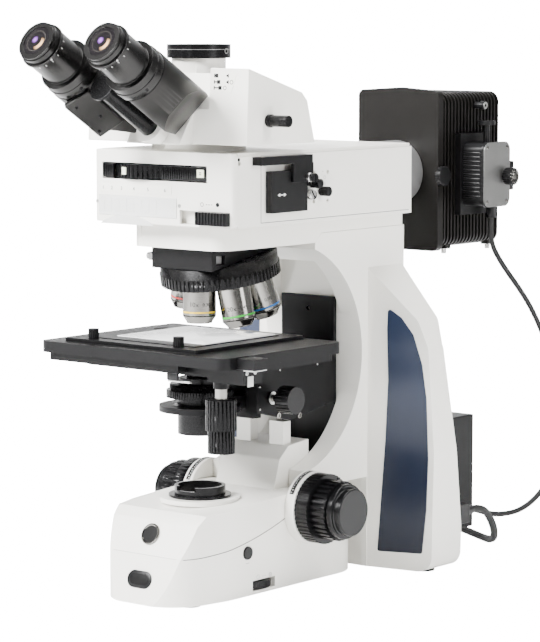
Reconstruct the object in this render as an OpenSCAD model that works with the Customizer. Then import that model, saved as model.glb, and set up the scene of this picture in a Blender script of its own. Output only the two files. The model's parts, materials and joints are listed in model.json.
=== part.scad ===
/* [Base] */
// Width of the base and of the column's core
base_w = 108; // [104:1:112]
// Distance from the optical axis to the front of the base
nose_len = 85; // [82:1:90]
// Height of the rubber feet
foot_h = 3; // [2:0.5:5]
// Height of the base's flat top beside the light outlet
base_top = 81; // [79:1:83]
// Wall of the cast base pan and its cover
base_wall = 4; // [3:0.5:6]
// Rounding of the nose in plan
nose_r = 40; // [20:1:42]
// Width of the raised housing in front of the column
hump_w = 66; // [60:1:70]
// Height of that raised housing
hump_top = 124; // [118:1:126]

/* [Column] */
// Rear face of the column's core
column_back = 226; // [222:1:230]
// Height where the column meets the limb
column_top = 307; // [304:1:309]
// Half width across the flared wings
wing_half = 118; // [112:1:122]
// Wall of the cast column
column_wall = 8; // [6:1:10]
// Thickness of the coloured inlays on the wings
inlay_t = 1.2; // [1:0.1:2]

/* [Limb and illuminator] */
// Height of the limb that carries the illuminator
limb_h = 21; // [18:1:22]
// Half width of the illuminator
illum_half = 77; // [74:1:80]
// Height of the illuminator
illum_h = 62; // [60:1:66]
// Front face of the illuminator, ahead of the optical axis
illum_front = 47; // [46:0.5:48]
// Rear face of the illuminator
illum_back = 199; // [196:1:202]
// Radius of the filter wheel
wheel_r = 47; // [44:1:48]

/* [Head] */
// Half width of the viewing head
head_half = 88.5; // [84:0.5:92]
// Height of the viewing head
head_h = 63.5; // [60:0.5:66]
// Slope of the eyepieces from level
view_tilt = 31; // [30:0.5:32]
// Distance between the eyepieces as the object stands
eye_gap = 72; // [70:1:74]
// Radius on which each eyepiece swings
swing_r = 38; // [37.5:0.5:40]
// Radius of the eyepiece arms
arm_r = 24.5; // [23:0.5:24.8]
// Length of an arm along its axis
arm_len = 67; // [65:1:70]
// Radius of the eyepiece barrel
barrel_r = 18.8; // [18:0.2:20]
// Inner radius of the camera port
port_r = 19; // [15:0.5:21]

/* [Nosepiece] */
// Slope of the nosepiece's axis from upright
nose_tilt = 10.7; // [10:0.1:11.5]
// Distance of the nosepiece's centre behind the optical axis
nose_back = 28.3; // [28:0.1:30]
// Radius of the knurled ring
nose_ring_r = 52; // [50:0.5:54]
// Radius of the objective threads
thread_r = 12.5; // [10.2:0.1:12.6]
// Radius of the objectives
objective_r = 14.3; // [13.6:0.1:14.4]

/* [Stage] */
// Height of the stage's top plate
stage_top = 218.4; // [216:0.2:220]
// Width of the stage
stage_w = 208; // [200:1:214]
// Depth of the stage
stage_d = 157; // [152:1:160]
// Thickness of each moving plate
stage_t = 9.6; // [8:0.2:10]
// Running gap between sliding plates
slide_gap = 0.2; // [0.1:0.05:0.3]

/* [Condenser] */
// Radius of the condenser's clamping ring
condenser_r = 22.6; // [21:0.2:24]
// Radius of the condenser's lens barrel
condenser_lens_r = 15.5; // [14:0.5:16.5]

/* [Focus drive] */
// Height of the focus axis
focus_z = 69.7; // [68:0.1:71]
// Distance of the focus axis behind the optical axis
focus_y = 79.8; // [78:0.2:82]
// Radius of the tension ring
tension_r = 30.5; // [29:0.5:31.5]
// Radius of the coarse knobs
coarse_r = 26; // [25:0.5:27]
// Radius of the fine knobs
fine_r = 20.5; // [19:0.5:22]
// Radial clearance of the turning shafts
run_gap = 0.05; // [0.03:0.01:0.09]

/* [Lamphouse] */
// Height of the lamp's optical axis
lamp_z = 350; // [348:1:352]
// Half width of the lamphouse
lamp_half = 46; // [44:1:48]
// Height of the lamphouse
lamp_h = 150; // [146:1:154]
// Depth of the ribbed lamp body
lamp_d = 92; // [88:1:96]
// Number of cooling ribs along each side
rib_count = 16; // [12:1:18]

/* [Hidden] */
$fn = 64;

// Paints
white = [0.88, 0.88, 0.85];
black = [0.12, 0.12, 0.12];
dark = [0.2, 0.2, 0.2];
grey = [0.5, 0.5, 0.48];
steel = [0.75, 0.75, 0.75];
blue = [0.13, 0.16, 0.25];
clear = [0.85, 0.9, 0.95];

// Heights that follow from the sizes above
limb_top = 320;
limb_bottom = limb_top - limb_h;
illum_top = limb_top + illum_h;
head_bottom = illum_top + 6.5;
head_top = head_bottom + head_h;
core_half = base_w / 2;
tiny = 0.01;
far = 600;

// Base: seam between pan and cover, an arc that rises towards the back
seam_r = 365;
seam_y = -70;
seam_low = 43;
nose_lean = 27;
nose_step = 11;
wing_front = 165.5;
wing_slope = atan(0.181);
cover_back = 104;
pan_back = wing_front - 0.5;
disc_r = 34.6;
disc_top = base_top + 3;
outlet_r = 22;
outlet_flange_r = 27;
valley = base_top + 3.4;
hump_front = 68;
cheek_x = 18.7;
cheek_w = 15.6;
cheek_y = 81;
cheek_d = 10;
cheek_h = 17;

// Column
curve_y = 57;
curve_z = 198;
curve_r = 101;
column_front_top = 91;
guard_half = 30;
guard_y = 148;
guard_t = 4;
guard_bottom = 92;
hump_back = 108;
guard_top = 246;
lamp_box_half = 60;
lamp_box_y = 322;
lamp_box_z = 18;
lamp_box_h = 106;

// Viewing head: the arms turn on a pin that leans with the eyepieces
head_front = 43;
head_back = 47;
hub_y = -63;
hub_z = head_bottom + 13.9;
eye_x = eye_gap / 2;
eye_up = sqrt(swing_r * swing_r - eye_x * eye_x);
pin_r = 8;
pin_deep = 13;
boss_r = swing_r - arm_r - 0.3;
knuckle_r = 12;
knuckle_gap = 0.3;
knuckle_low = 0.3;
knuckle_mid = 32;
knuckle_high = arm_len - 3;
bay_half = 47;
bay_depth = 10.5;
trim_depth = 9;
collar_len = 8;
seat_len = 7;
barrel_len = 28;
flange_len = 2.5;
dioptre_len = 7.5;
arm_spigot_r = 15;
eye_spigot_r = 14.9;

// Nosepiece
nose_z = 271;
place_count = 6;
place_r = nose_back / cos(nose_tilt);
ring_skirt = 10;
turret_h = 18.5;
plate_low = 7;
plate_high = 13;
nose_pin_r = 7;
mount_half = 34;
mount_front = 23;

// Stage: three tiers on a carrier that climbs the column
stage_x = -2.7;
stage_y = -8.4;
carrier_half = 32;
carrier_back = guard_y - slide_gap;
carrier_low = 152;
carrier_top = stage_top - 2 * stage_t + 2.6;
y_plate_top = stage_top - stage_t - slide_gap;
y_plate_t = 7.2;
insert_t = 3.6;
knob_x = 76;
knob_y = -61;
guide_half = 12;
guide_front = 58;
guide_y = 66.8;

// Condenser
condenser_top = 187;
condenser_knob_y = 48;
condenser_knob_z = 167;
bracket_half = 40;
bracket_t = 6.5;
bracket_front = 29;
bracket_back = 122;
condenser_seat = 158.2;
condenser_neck = 163.4;
aperture_low = 170;

// Focus drive, measured outwards from the base's side
collar_r = 31.5;
collar_w = 10;
tension_w = 13;
coarse_w = 15;
fine_w = 12.5;
tube_r = 9;
core_r = 5;
knob_gap = 0.4;

// Lamphouse
lamp_front = 282;
cover_t = 8;
lamp_low = lamp_z - 72;
holder_y = 332;
holder_half = 20;
holder_w = 30;
holder_mid = 348;
collector_z = 347.4;
tube_port_r = 29;

// Cords: places of the sockets and the routes that the cords lie in
cord_r = 3.5;
lamp_cord_r = 2.5;
socket_x = 101;
socket_y = 214;
socket_z = 47;
lamp_socket_x = 83;
plug_end = 262;
coil_x = -84;
coil_y = 372;
coil_r = 38;
coil_half_w = 11;
coil_half_h = 7.25;
coil_plug_at = 251;

module ring(r_out, r_in, h) {
    difference() {
        cylinder(r = r_out, h = h);
        translate([0, 0, -1]) cylinder(r = r_in, h = h + 2);
    }
}

module ribbed(r, h, count, depth, width) {
    difference() {
        cylinder(r = r, h = h);
        for (i = [0 : count - 1]) rotate([0, 0, i * 360 / count])
            translate([r - depth, -width / 2, -1]) cube([depth + 1, width, h + 2]);
    }
}

// Turns a drawing in depth (Y) and height (Z) into a slab that runs across X
module across(half) {
    rotate([90, 0, 90]) translate([0, 0, -half]) linear_extrude(2 * half) children();
}

// Turns a drawing in X and Z into a slab between two depths
module along(y0, y1) {
    translate([0, y1, 0]) rotate([90, 0, 0]) linear_extrude(y1 - y0) children();
}

// A cylinder that lies along X
module axle(r, x0, x1) {
    translate([x0, 0, 0]) rotate([0, 90, 0]) cylinder(r = r, h = x1 - x0);
}

module mirrored() {
    children();
    mirror([1, 0, 0]) children();
}

// Base

module base_plan(inset) {
    offset(delta = -inset) offset(r = nose_r) offset(delta = -nose_r)
        polygon([[-core_half + nose_step, -nose_len], [core_half - nose_step, -nose_len],
                 [core_half, -nose_len + 60], [core_half, pan_back], [-core_half, pan_back],
                 [-core_half, -nose_len + 60]]);
}

module nose_profile(inset) {
    polygon([[-nose_len + inset, 0], [-nose_len + nose_lean / 2 + inset, seam_low],
             [-nose_len + nose_lean + inset, base_top - 11],
             [-nose_len + nose_lean + 9 + inset, base_top - 3 - inset],
             [0, base_top - inset], [60, valley - inset], [pan_back, valley - inset],
             [pan_back, 0]]);
}

module above_seam(lift) {
    translate([0, 0, lift]) across(core_half + 1) difference() {
        translate([-nose_len - 5, 0]) square([cover_back + nose_len + 5, 200]);
        difference() {
            translate([-nose_len - 6, -1]) square([cover_back + nose_len + 7, 110]);
            translate([seam_y, seam_low + seam_r]) circle(r = seam_r, $fn = 200);
        }
    }
}

module base_form(inset) {
    intersection() {
        linear_extrude(130) base_plan(inset);
        across(core_half + 1) nose_profile(inset);
    }
}

module base_pan() {
    color(white) difference() {
        translate([0, 0, foot_h]) intersection() {
            translate([0, 0, -foot_h]) base_form(0);
            translate([-far / 2, -far / 2, 0]) cube([far, far, 200]);
        }
        above_seam(0);
        difference() {
            intersection() {
                translate([0, 0, foot_h + base_wall]) linear_extrude(200) base_plan(base_wall);
                across(core_half) polygon([[base_wall - nose_len, 0],
                    [base_wall - nose_len + nose_lean / 2 + 3, seam_low + 9], [-20, 200], [far, 200], [far, 0]]);
            }
            translate([-core_half, cover_back - base_wall, 0]) cube([base_w, far, 200]);
        }
        pocket_in_back();
        translate([0, focus_y, focus_z]) axle(tube_r + run_gap, -core_half - 1, core_half + 1);
        button_hole();
        wheel_slot();
    }
    color(white) translate([core_half - wheel_x_in, wheel_y, foot_h + 1])
        cylinder(r = post_r, h = wheel_z + thumb_t / 2 - foot_h - 1);
}

// Space under the column, joined to the front room by a cable way
module pocket_in_back() {
    translate([-core_half + 8, cover_back + 6, foot_h + base_wall])
        cube([base_w - 16, pan_back - cover_back - 14, 200]);
    translate([-15, cover_back - 20, foot_h + base_wall]) cube([30, 40, 30]);
}

button_y = -1;
button_z = 40.5;
button_r = 5.6;
wheel_x_in = 11;
wheel_y = 21;
wheel_z = 10.5;
thumb_r = 14;
thumb_t = 6;
post_r = 1.95;

module button_hole() {
    translate([0, button_y, button_z]) axle(button_r + 0.3, core_half - base_wall - 3, core_half + 2);
}

module wheel_slot() {
    translate([core_half - wheel_x_in - thumb_r - 1, wheel_y - thumb_r - 1, wheel_z - thumb_t / 2 - 1.5])
        cube([2 * thumb_r + 6, 2 * thumb_r + 2, thumb_t + 3]);
}

module base_cover() {
    color(white) {
        difference() {
            intersection() {
                base_form(0);
                above_seam(0.2);
            }
            difference() {
                base_form(base_wall);
                translate([-far / 2, hump_front - 8, 0]) cube([far, far, 200]);
            }
            translate([0, 0, -1]) cylinder(r = outlet_r - 4, h = 200);
            translate([0, focus_y, focus_z]) axle(tube_r + run_gap, -core_half - 1, core_half + 1);
        }
        difference() {
            translate([0, 0, base_top - 1]) cylinder(r = disc_r, h = disc_top - base_top + 1);
            translate([0, 0, base_top - 2]) cylinder(r = outlet_r - 4, h = 20);
        }
        hump();
    }
}

// The raised housing in front of the column, with the two cheeks that guide the stage
module hump() {
    difference() {
        across(hump_w / 2) offset(r = 6) offset(delta = -6) polygon([
            [hump_front - 12, base_top - 8], [hump_front - 6, base_top + 10], [hump_front, hump_top - 14],
            [hump_front + 12, hump_top - 3.5], [hump_back + 6, hump_top], [hump_back + 6, base_top - 8]]);
        translate([-far / 2, hump_back, 0]) cube([far, far, far]);
        difference() {
            translate([-far / 2, hump_front - 20, 0]) cube([far, far, valley + 0.1]);
            above_seam(0.2);
        }
        translate([0, focus_y, focus_z]) axle(tube_r + run_gap, -far, far);
    }
    for (s = [-1, 1]) translate([s * cheek_x, cheek_y + cheek_d / 2, hump_top - 8])
        linear_extrude(cheek_h + 8) square([cheek_w, cheek_d], center = true);
}

module rubber_feet() {
    color(black) for (p = [[0, 0], [-32, -50], [32, -50], [-95, 198], [95, 198]])
        translate([p[0], p[1], 0]) cylinder(r = 9, h = foot_h);
}

// Lenses and the mirror that stay with the stand
module stand_lenses() {
    color(clear) {
        translate([0, 0, disc_top - 9]) cylinder(r = outlet_r - 4.1, h = 5);
        translate([0, 0, limb_bottom + 4]) cylinder(r = 15, h = 4);
        translate([0, illum_back - 6, lamp_z]) rotate([-90, 0, 0]) cylinder(r = 17, h = 5);
        translate([0, lamp_front + 1, lamp_z]) rotate([-90, 0, 0]) cylinder(r = 19.9, h = 6);
        translate([0, 0, foot_h + base_wall]) across(16)
            polygon([[-16, 0], [20, 0], [20, 34]]);
    }
}

// Column

module wing_outline(inset) {
    offset(delta = -inset) offset(r = 14) offset(delta = -14) polygon([
        [0, foot_h], [wing_half - 1, foot_h], [wing_half + 1, 110], [wing_half - 5, 203],
        [wing_half - 15, 227], [core_half - 4, 276], [0, 290]]);
}

module wing_side() {
    across(wing_half + 5) polygon([[150, 0], [222, 0], [222, 40], [199, 205], [212, 255],
                                  [222, 290], [150, 290]]);
}

module wing() {
    intersection() {
        along(150, 226) wing_outline(0);
        wing_side();
        linear_extrude(300) polygon([[core_half - 6, wing_front - 0.362],
            [wing_half + 4, wing_front + 0.181 * (wing_half - core_half + 8)],
            [wing_half + 4, 226], [core_half - 6, 226]]);
    }
}

module column_shell() {
    color(white) difference() {
        union() {
            difference() {
                intersection() {
                    across(core_half) polygon([[80, hump_top - 30], [column_front_top, column_top - 8],
                        [column_front_top + 9, column_top], [column_back, column_top],
                        [column_back, foot_h], [pan_back + 0.5, foot_h],
                        [pan_back + 0.5, valley + 0.2], [80, valley + 0.2]]);
                    linear_extrude(400) offset(r = 10) offset(delta = -10) polygon([
                        [-core_half, 70], [core_half, 70], [core_half, column_back],
                        [-core_half, column_back]]);
                }
                translate([0, curve_y, curve_z]) axle(curve_r, -core_half - 1, core_half + 1, $fn = 120);
                translate([-hump_w / 2 - 0.3, 0, 0]) cube([hump_w + 0.6, guard_y + guard_t, 280]);
            }
            mirrored() wing();
        }
        translate([-core_half + column_wall, wing_front + 8, -1])
            cube([base_w - 2 * column_wall, column_back - wing_front - 2 * column_wall, 285]);
        mirrored() translate([socket_x - 27, socket_y, 33]) cube([42, 20, 27]);
        mirrored() inlay_solid(0.05);
        lamp_wire_way();
    }
}

module lamp_wire_way() {
    translate([0, column_back - column_wall - 2, 60]) rotate([-90, 0, 0]) cylinder(r = 8, h = 20);
}

module inlay_solid(clear_gap) {
    translate([50, wing_front, 0]) rotate([0, 0, wing_slope])
        along(-inlay_t + 0.6 - inlay_t * 0 - clear_gap, 0.6 + clear_gap)
        offset(delta = clear_gap) offset(r = 2) offset(delta = -2)
        polygon([[14.7, 18], [59, 19.5], [63, 59.5], [64.5, 104.5], [62.5, 158], [58, 188.5],
                 [49.3, 214.5], [37.6, 229], [24.4, 237], [23.7, 217.3], [24.9, 173], [22.4, 118.5]]);
}

module side_inlays() {
    color(blue) mirrored() inlay_solid(0);
}

module guard_plate() {
    color(black) difference() {
        translate([-guard_half, guard_y, guard_bottom])
            cube([2 * guard_half, guard_t, guard_top - guard_bottom]);
        for (z = [guard_bottom + 12, guard_top - 12]) translate([0, guard_y - 1, z])
            rotate([-90, 0, 0]) cylinder(r = 2, h = guard_t + 2);
    }
}

module rear_lamp_box() {
    color(dark) difference() {
        translate([-lamp_box_half, column_back, lamp_box_z])
            cube([2 * lamp_box_half, lamp_box_y - column_back, lamp_box_h]);
        translate([-lamp_box_half + 3, column_back - 1, lamp_box_z + 3])
            cube([2 * lamp_box_half - 6, lamp_box_y - column_back - 2, lamp_box_h - 6]);
        for (i = [-4 : 4]) translate([i * 11 - 2, column_back + 20, lamp_box_z + lamp_box_h - 4])
            cube([4, lamp_box_y - column_back - 40, 6]);
    }
    color(black) translate([0, column_back + 0.2, 60]) rotate([-90, 0, 0]) cylinder(r = 20, h = 40);
}

// Limb and illuminator

module limb() {
    color(white) difference() {
        intersection() {
            across(core_half) polygon([[-31.5, limb_bottom], [column_front_top, limb_bottom],
                [column_front_top + 9, column_top + 0.3], [column_back, column_top + 0.3],
                [column_back, limb_top], [-31.5, limb_top]]);
            linear_extrude(400) offset(r = 14) offset(delta = -14) polygon([
                [-core_half + 4, -31.5], [core_half - 4, -31.5], [core_half, 10],
                [core_half, column_back], [-core_half, column_back], [-core_half, 10]]);
        }
        translate([0, 0, limb_bottom - 1]) cylinder(r = 15.1, h = limb_h + 2);
        mirrored() for (z = [limb_bottom, limb_top]) translate([core_half - 5, 8, z])
            translate([0, 0, -6]) cylinder(r = 3.5, h = 12);
    }
}

module illuminator_housing() {
    color(white) difference() {
        union() {
            translate([-illum_half, -illum_front + 7, limb_top + 0.2])
                cube([2 * illum_half, illum_back + illum_front - 7, illum_h - 3]);
            translate([-illum_half + 1.5, -illum_front + 8, limb_top + illum_h - 3])
                cube([2 * illum_half - 3, illum_back + illum_front - 9.5, 3]);
        }
        wheel_room();
        translate([0, 0, limb_top - 1]) cylinder(r = 15, h = illum_h + 2);
        translate([0, 60, lamp_z]) rotate([-90, 0, 0]) cylinder(r = 17.1, h = far);
        translate([illum_half - 4.3, slider_y - 10 - slider_out - 0.4, slider_z - 8.3])
            cube([6, 20.8 + slider_out + slider_in, 16.6]);
        for (p = [[34, 5], [49.5, -2.5]]) translate([illum_half - 10, slider_y + p[0], slider_z + p[1]])
            rotate([0, 90, 0]) cylinder(r = 2.4 + run_gap, h = 20);
        for (y = [41, 60]) for (z = [-11, 13.4]) translate([illum_half - 5, slider_y + y, slider_z + z])
            rotate([0, 90, 0]) cylinder(r = 1.8, h = 20);
        translate([illum_half - 12, -38.5, 374]) rotate([0, 90, 0]) cylinder(r = 2, h = 20);
    }
}

// Room for the filter wheel and the shutter, open to the front
wheel_x = -28;
wheel_cy = -5;
wheel_low = 330;
wheel_high = 374;
wheel_pin_r = 6;
cube_half = 9;
shutter_low = 322;
shutter_h = 11.5;
shutter_x0 = 19;
shutter_x1 = 74;
thumb_w = 34;
slider_y = 19;
slider_half = 24;
slider_z = 348.5;
slider_half_h = 17.5;
slider_out = 12;
slider_in = 4;

module wheel_room() {
    difference() {
        translate([wheel_x, wheel_cy, wheel_low - 1])
            cylinder(r = wheel_r + 1, h = wheel_high - wheel_low + 2);
        translate([wheel_x, wheel_cy, wheel_low - 2]) cylinder(r = wheel_pin_r, h = 60);
    }
    translate([-illum_half + 6, -illum_front, wheel_low + 24])
        cube([2 * illum_half - 30, 20, wheel_high - wheel_low - 23]);
}

module turret_front_cover() {
    color(white) difference() {
        intersection() {
            translate([0, 0, limb_top + 0.2]) linear_extrude(illum_h - 0.4) polygon([
                [-illum_half, -illum_front + 6.8], [-illum_half, -illum_front + 3],
                [-illum_half + 1, -illum_front + 1], [-illum_half + 3, -illum_front],
                [illum_half - 3, -illum_front], [illum_half - 1, -illum_front + 1],
                [illum_half, -illum_front + 3], [illum_half, -illum_front + 6.8]]);
            along(-illum_front - 1, -illum_front + 8) offset(r = 4) offset(delta = -4)
                translate([-illum_half, limb_top]) square([2 * illum_half, illum_h]);
        }
        translate([wheel_x, wheel_cy, wheel_high - 17]) cylinder(r = wheel_r + 0.6, h = 14);
        translate([-68, -illum_front - 1, wheel_high - 17]) cube([117, 10, 14]);
        translate([wheel_x, wheel_cy, wheel_low - 1]) cylinder(r = wheel_r - 7.4, h = 30);
        translate([shutter_x0, -illum_front - 1, shutter_low])
            cube([shutter_x1 - shutter_x0, 10, shutter_h]);
        translate([shutter_x0 - 3, -illum_front + 2.8, shutter_low])
            cube([shutter_x1 - shutter_x0 + 4.5, 10, shutter_h + 3]);
    }
}

module filter_wheel() {
    color(black) difference() {
        union() {
            translate([wheel_x, wheel_cy, wheel_high - 16]) ribbed(wheel_r, 12, 60, 0.8, 2.4);
            translate([wheel_x, wheel_cy, wheel_low]) cylinder(r = wheel_r - 12.6, h = wheel_high - wheel_low - 16);
        }
        translate([wheel_x, wheel_cy, wheel_low - 1]) cylinder(r = wheel_pin_r + run_gap, h = 60);
        for (i = [0 : 5]) translate([wheel_x, wheel_cy, wheel_low + 4])
            rotate([0, 0, i * 60 + atan2(-wheel_cy, -wheel_x)]) translate([norm([wheel_x, wheel_cy]), 0, 0])
            translate([-cube_half, -cube_half, -10]) cube([2 * cube_half, 2 * cube_half, 60]);
    }
    color(grey) for (i = [0 : 5]) translate([wheel_x, wheel_cy, wheel_low + 2])
        rotate([0, 0, i * 60 + atan2(-wheel_cy, -wheel_x)]) translate([norm([wheel_x, wheel_cy]), 0, 0])
        difference() {
            translate([-cube_half, -cube_half, 0]) cube([2 * cube_half, 2 * cube_half, 22]);
            translate([0, 0, -1]) cylinder(r = 6.5, h = 40);
            translate([0, 0, 11]) rotate([0, 90, 0]) cylinder(r = 6.5, h = 40);
        }
}

// Slides across behind the front cover; its thumb piece shows in the slot
module shutter_slider() {
    color(black) {
        translate([shutter_x1 - thumb_w - 0.3, -illum_front - 5, shutter_low + 0.3])
            cube([thumb_w, 9, shutter_h - 0.6]);
        translate([shutter_x1 - thumb_w - 3.3, -illum_front + 3.1, shutter_low + 0.3])
            cube([thumb_w + 4.2, 3.4, shutter_h + 2.4]);
        for (i = [0 : 9]) translate([shutter_x1 - thumb_w + 0.9 + i * 3.3, -illum_front - 6, shutter_low + 0.3])
            cube([1.4, 1.2, shutter_h - 0.6]);
    }
}

// Bar, hanging plate and two slotted screws of the polariser, in front of its slider
module polariser_plate() {
    px = illum_half + 0.05;
    color(black) translate([px, slider_y - 41, slider_z + 23]) cube([10, 68, 7]);
    color(grey) translate([px + 7.4, slider_y + 1, slider_z + 7.5]) cube([2.6, 27, 15.7]);
    color(steel) {
        slotted_screw(px + 10, slider_y + 24.5, slider_z + 10.5);
        slotted_screw(px, slider_y + 35, slider_z - 5);
    }
}

module slotted_screw(x, y, z) {
    translate([x, y, z]) rotate([0, 90, 0]) difference() {
        cylinder(r = 3.8, h = 5);
        translate([-5, -0.5, 4]) cube([10, 1, 2]);
    }
}

module slider_slot(more) {
    translate([illum_half - 4 - more, slider_y - 10 - more, slider_z - 8 - more])
        cube([6, 20 + 2 * more, 16 + 2 * more]);
}

// The slide goes sideways along the arrow that is printed on it
module analyser_slider() {
    color(black) {
        translate([illum_half + 0.3, slider_y - slider_half, slider_z - slider_half_h])
            cube([6.7, 2 * slider_half, 2 * slider_half_h]);
        slider_slot(0);
    }
}

module side_knob(y, z, x, h) {
    translate([x, y, z]) rotate([0, 90, 0]) {
        translate([0, 0, -6]) cylinder(r = 2.4, h = 8);
        ribbed(4.1, h, 20, 0.4, 0.7);
    }
}

module stop_knob() { color(black) side_knob(slider_y + 34, slider_z + 5, illum_half + 3, 10); }
module centring_knob() { color(black) side_knob(slider_y + 49.5, slider_z - 2.5, illum_half + 1, 9); }

// Head

module view_frame() {
    translate([0, hub_y, hub_z]) rotate([90 - view_tilt, 0, 0]) children();
}

module head_housing() {
    color(white) difference() {
        union() {
            difference() {
                across(head_half) polygon([[-head_front, head_bottom], [-head_front + 3, head_top],
                    [head_back - 17, head_top - 21], [head_back - 10, head_top - 28],
                    [head_back, head_bottom]]);
                view_frame() translate([-bay_half, -far, -bay_depth]) cube([2 * bay_half, 2 * far, far]);
            }
            intersection() {
                across(30) polygon([[-head_front - 16.3, head_bottom], [-head_front + 6, head_bottom],
                    [-head_front + 6, head_bottom + 44]]);
                view_frame() translate([-far / 2, -far, -far - bay_depth]) cube([far, 2 * far, far]);
            }
            intersection() {
                view_frame() translate([0, 0, -bay_depth - 16]) cylinder(r = boss_r, h = 16 + bay_depth);
                translate([-far / 2, -far / 2, head_bottom]) cube([far, far, far]);
            }
            translate([0, 0, illum_top]) cylinder(r = 40, h = head_bottom - illum_top + 2);
            translate([0, 0, head_top - 40]) cylinder(r = 23, h = 47);
        }
        view_frame() translate([0, 0, -pin_deep]) cylinder(r = pin_r, h = 60);
        translate([0, 0, head_top - 24]) cylinder(r = port_r - 0.5, h = 60);
        translate([0, 0, illum_top - 1]) cylinder(r = 15, h = 50);
        translate([head_half - 50, rod_y, rod_z]) rotate([0, 90, 0]) cylinder(r = 4 + run_gap, h = 60);
    }
}

rod_y = -15;
rod_z = head_bottom + 20;

module light_path_rod() {
    color(black) translate([0, rod_y, rod_z]) {
        axle(4, head_half - 46, head_half + 4);
        axle(4.8, head_half + 4, head_half + 22);
        axle(5.5, head_half + 0.4, head_half + 4);
    }
}

module camera_clamp_ring() {
    color(black) difference() {
        translate([0, 0, head_top + 7]) cylinder(r = 27, h = 11.5);
        translate([0, 0, head_top]) cylinder(r = port_r, h = 40);
        translate([0, 0, head_top + 12.8]) rotate([0, 90, 50]) translate([0, 0, 0]) cylinder(r = 2, h = 40);
    }
}

module hinge_shaft() {
    color(steel) view_frame() {
        translate([0, 0, -pin_deep]) cylinder(r = pin_r - 0.02, h = pin_deep + knuckle_high + 0.6);
        translate([0, 0, knuckle_high + 0.6]) cylinder(r = knuckle_r, h = 3);
    }
}

// The slanted end that clears the head as the arm swings
module arm_end_cut() {
    translate([eye_x, eye_up, 0]) rotate([0, 122.8, -27.7]) translate([-far / 2, -far / 2, 0])
        cube([far, far, far]);
}

module arm(low, high) {
    view_frame() difference() {
        union() {
            translate([eye_x, eye_up, -40]) cylinder(r = arm_r, h = arm_len + 40);
            translate([0, 0, low]) linear_extrude(high - low) hull() {
                circle(r = knuckle_r, $fn = 48);
                translate([eye_x, eye_up]) circle(r = knuckle_r, $fn = 48);
            }
        }
        translate([-far / 2, -far / 2, -far - trim_depth]) cube([far, far, far]);
        difference() {
            arm_end_cut();
            translate([-far / 2, -far / 2, low]) cube([far / 2 + knuckle_r, far, far]);
        }
        translate([0, 0, -50]) cylinder(r = pin_r + run_gap, h = 200);
        translate([eye_x, eye_up, arm_len - 31]) cylinder(r = arm_spigot_r, h = 100);
        translate([eye_x, eye_up, 0]) rotate([0, 0, -130]) translate([arm_r - 5.5, -far / 2, -far / 2])
            cube([far, far, far]);
    }
}

module right_arm() {
    color(dark) arm(knuckle_low, knuckle_mid);
}

module left_arm() {
    color(dark) mirror([1, 0, 0]) arm(knuckle_mid + knuckle_gap, knuckle_high);
}

module eyepiece() {
    seat = arm_len + collar_len;
    view_frame() translate([eye_x, eye_up, 0]) difference() {
        union() {
            translate([0, 0, arm_len]) cylinder(r = arm_r - 0.4, h = collar_len);
            translate([0, 0, seat]) cylinder(r = arm_r - 1.2, h = seat_len);
            translate([0, 0, seat + seat_len]) cylinder(r = barrel_r, h = barrel_len);
            translate([0, 0, seat + seat_len + barrel_len]) cylinder(r = barrel_r + 1.2, h = flange_len);
            translate([0, 0, arm_len - 30]) cylinder(r = eye_spigot_r, h = 31);
            translate([0, 0, seat + seat_len + barrel_len]) cylinder(r = 15.5, h = flange_len + 4);
        }
        translate([0, 0, arm_len - 31]) cylinder(r = 12.5, h = 140);
    }
}

module dioptre_ring() {
    start = arm_len + collar_len + seat_len + barrel_len + flange_len + 0.2;
    view_frame() translate([eye_x, eye_up, start]) {
        difference() {
            union() {
                cylinder(r = barrel_r - 0.6, h = dioptre_len - 2.5);
                translate([0, 0, dioptre_len - 2.5]) cylinder(r = barrel_r - 1.5, h = 2.5);
            }
            translate([0, 0, -1]) cylinder(r = 15.5 + run_gap, h = 6);
            translate([0, 0, -1]) cylinder(r = 13, h = 20);
        }
        translate([0, 0, 4.6]) cylinder(r = 13.2, h = 1.8);
    }
}

module right_eyepiece() { color(black) eyepiece(); }
module left_eyepiece() { color(black) mirror([1, 0, 0]) eyepiece(); }
module right_dioptre_ring() { color(black) dioptre_ring(); }
module left_dioptre_ring() { color(black) mirror([1, 0, 0]) dioptre_ring(); }

// Nosepiece

module nose_frame() {
    translate([0, nose_back, nose_z]) rotate([nose_tilt, 0, 0]) children();
}

module place(k) {
    rotate([0, 0, k * 360 / place_count]) translate([0, -place_r, 0]) rotate([-nose_tilt, 0, 0]) children();
}

module nosepiece_mount() {
    color(black) {
        difference() {
            intersection() {
                translate([-mount_half, -mount_front, 250]) cube([2 * mount_half, 100, limb_bottom - 250]);
                nose_frame() translate([-far / 2, -far / 2, turret_h + 0.3]) cube([far, far, far]);
            }
            translate([0, 0, 200]) cylinder(r = 13, h = 200);
            translate([-mount_half - 1, -17, 286]) cube([2 * mount_half + 2, 11.4, 7.4]);
        }
        nose_frame() translate([0, 0, plate_low]) cylinder(r = nose_pin_r, h = turret_h - plate_low + 2);
    }
}

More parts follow.
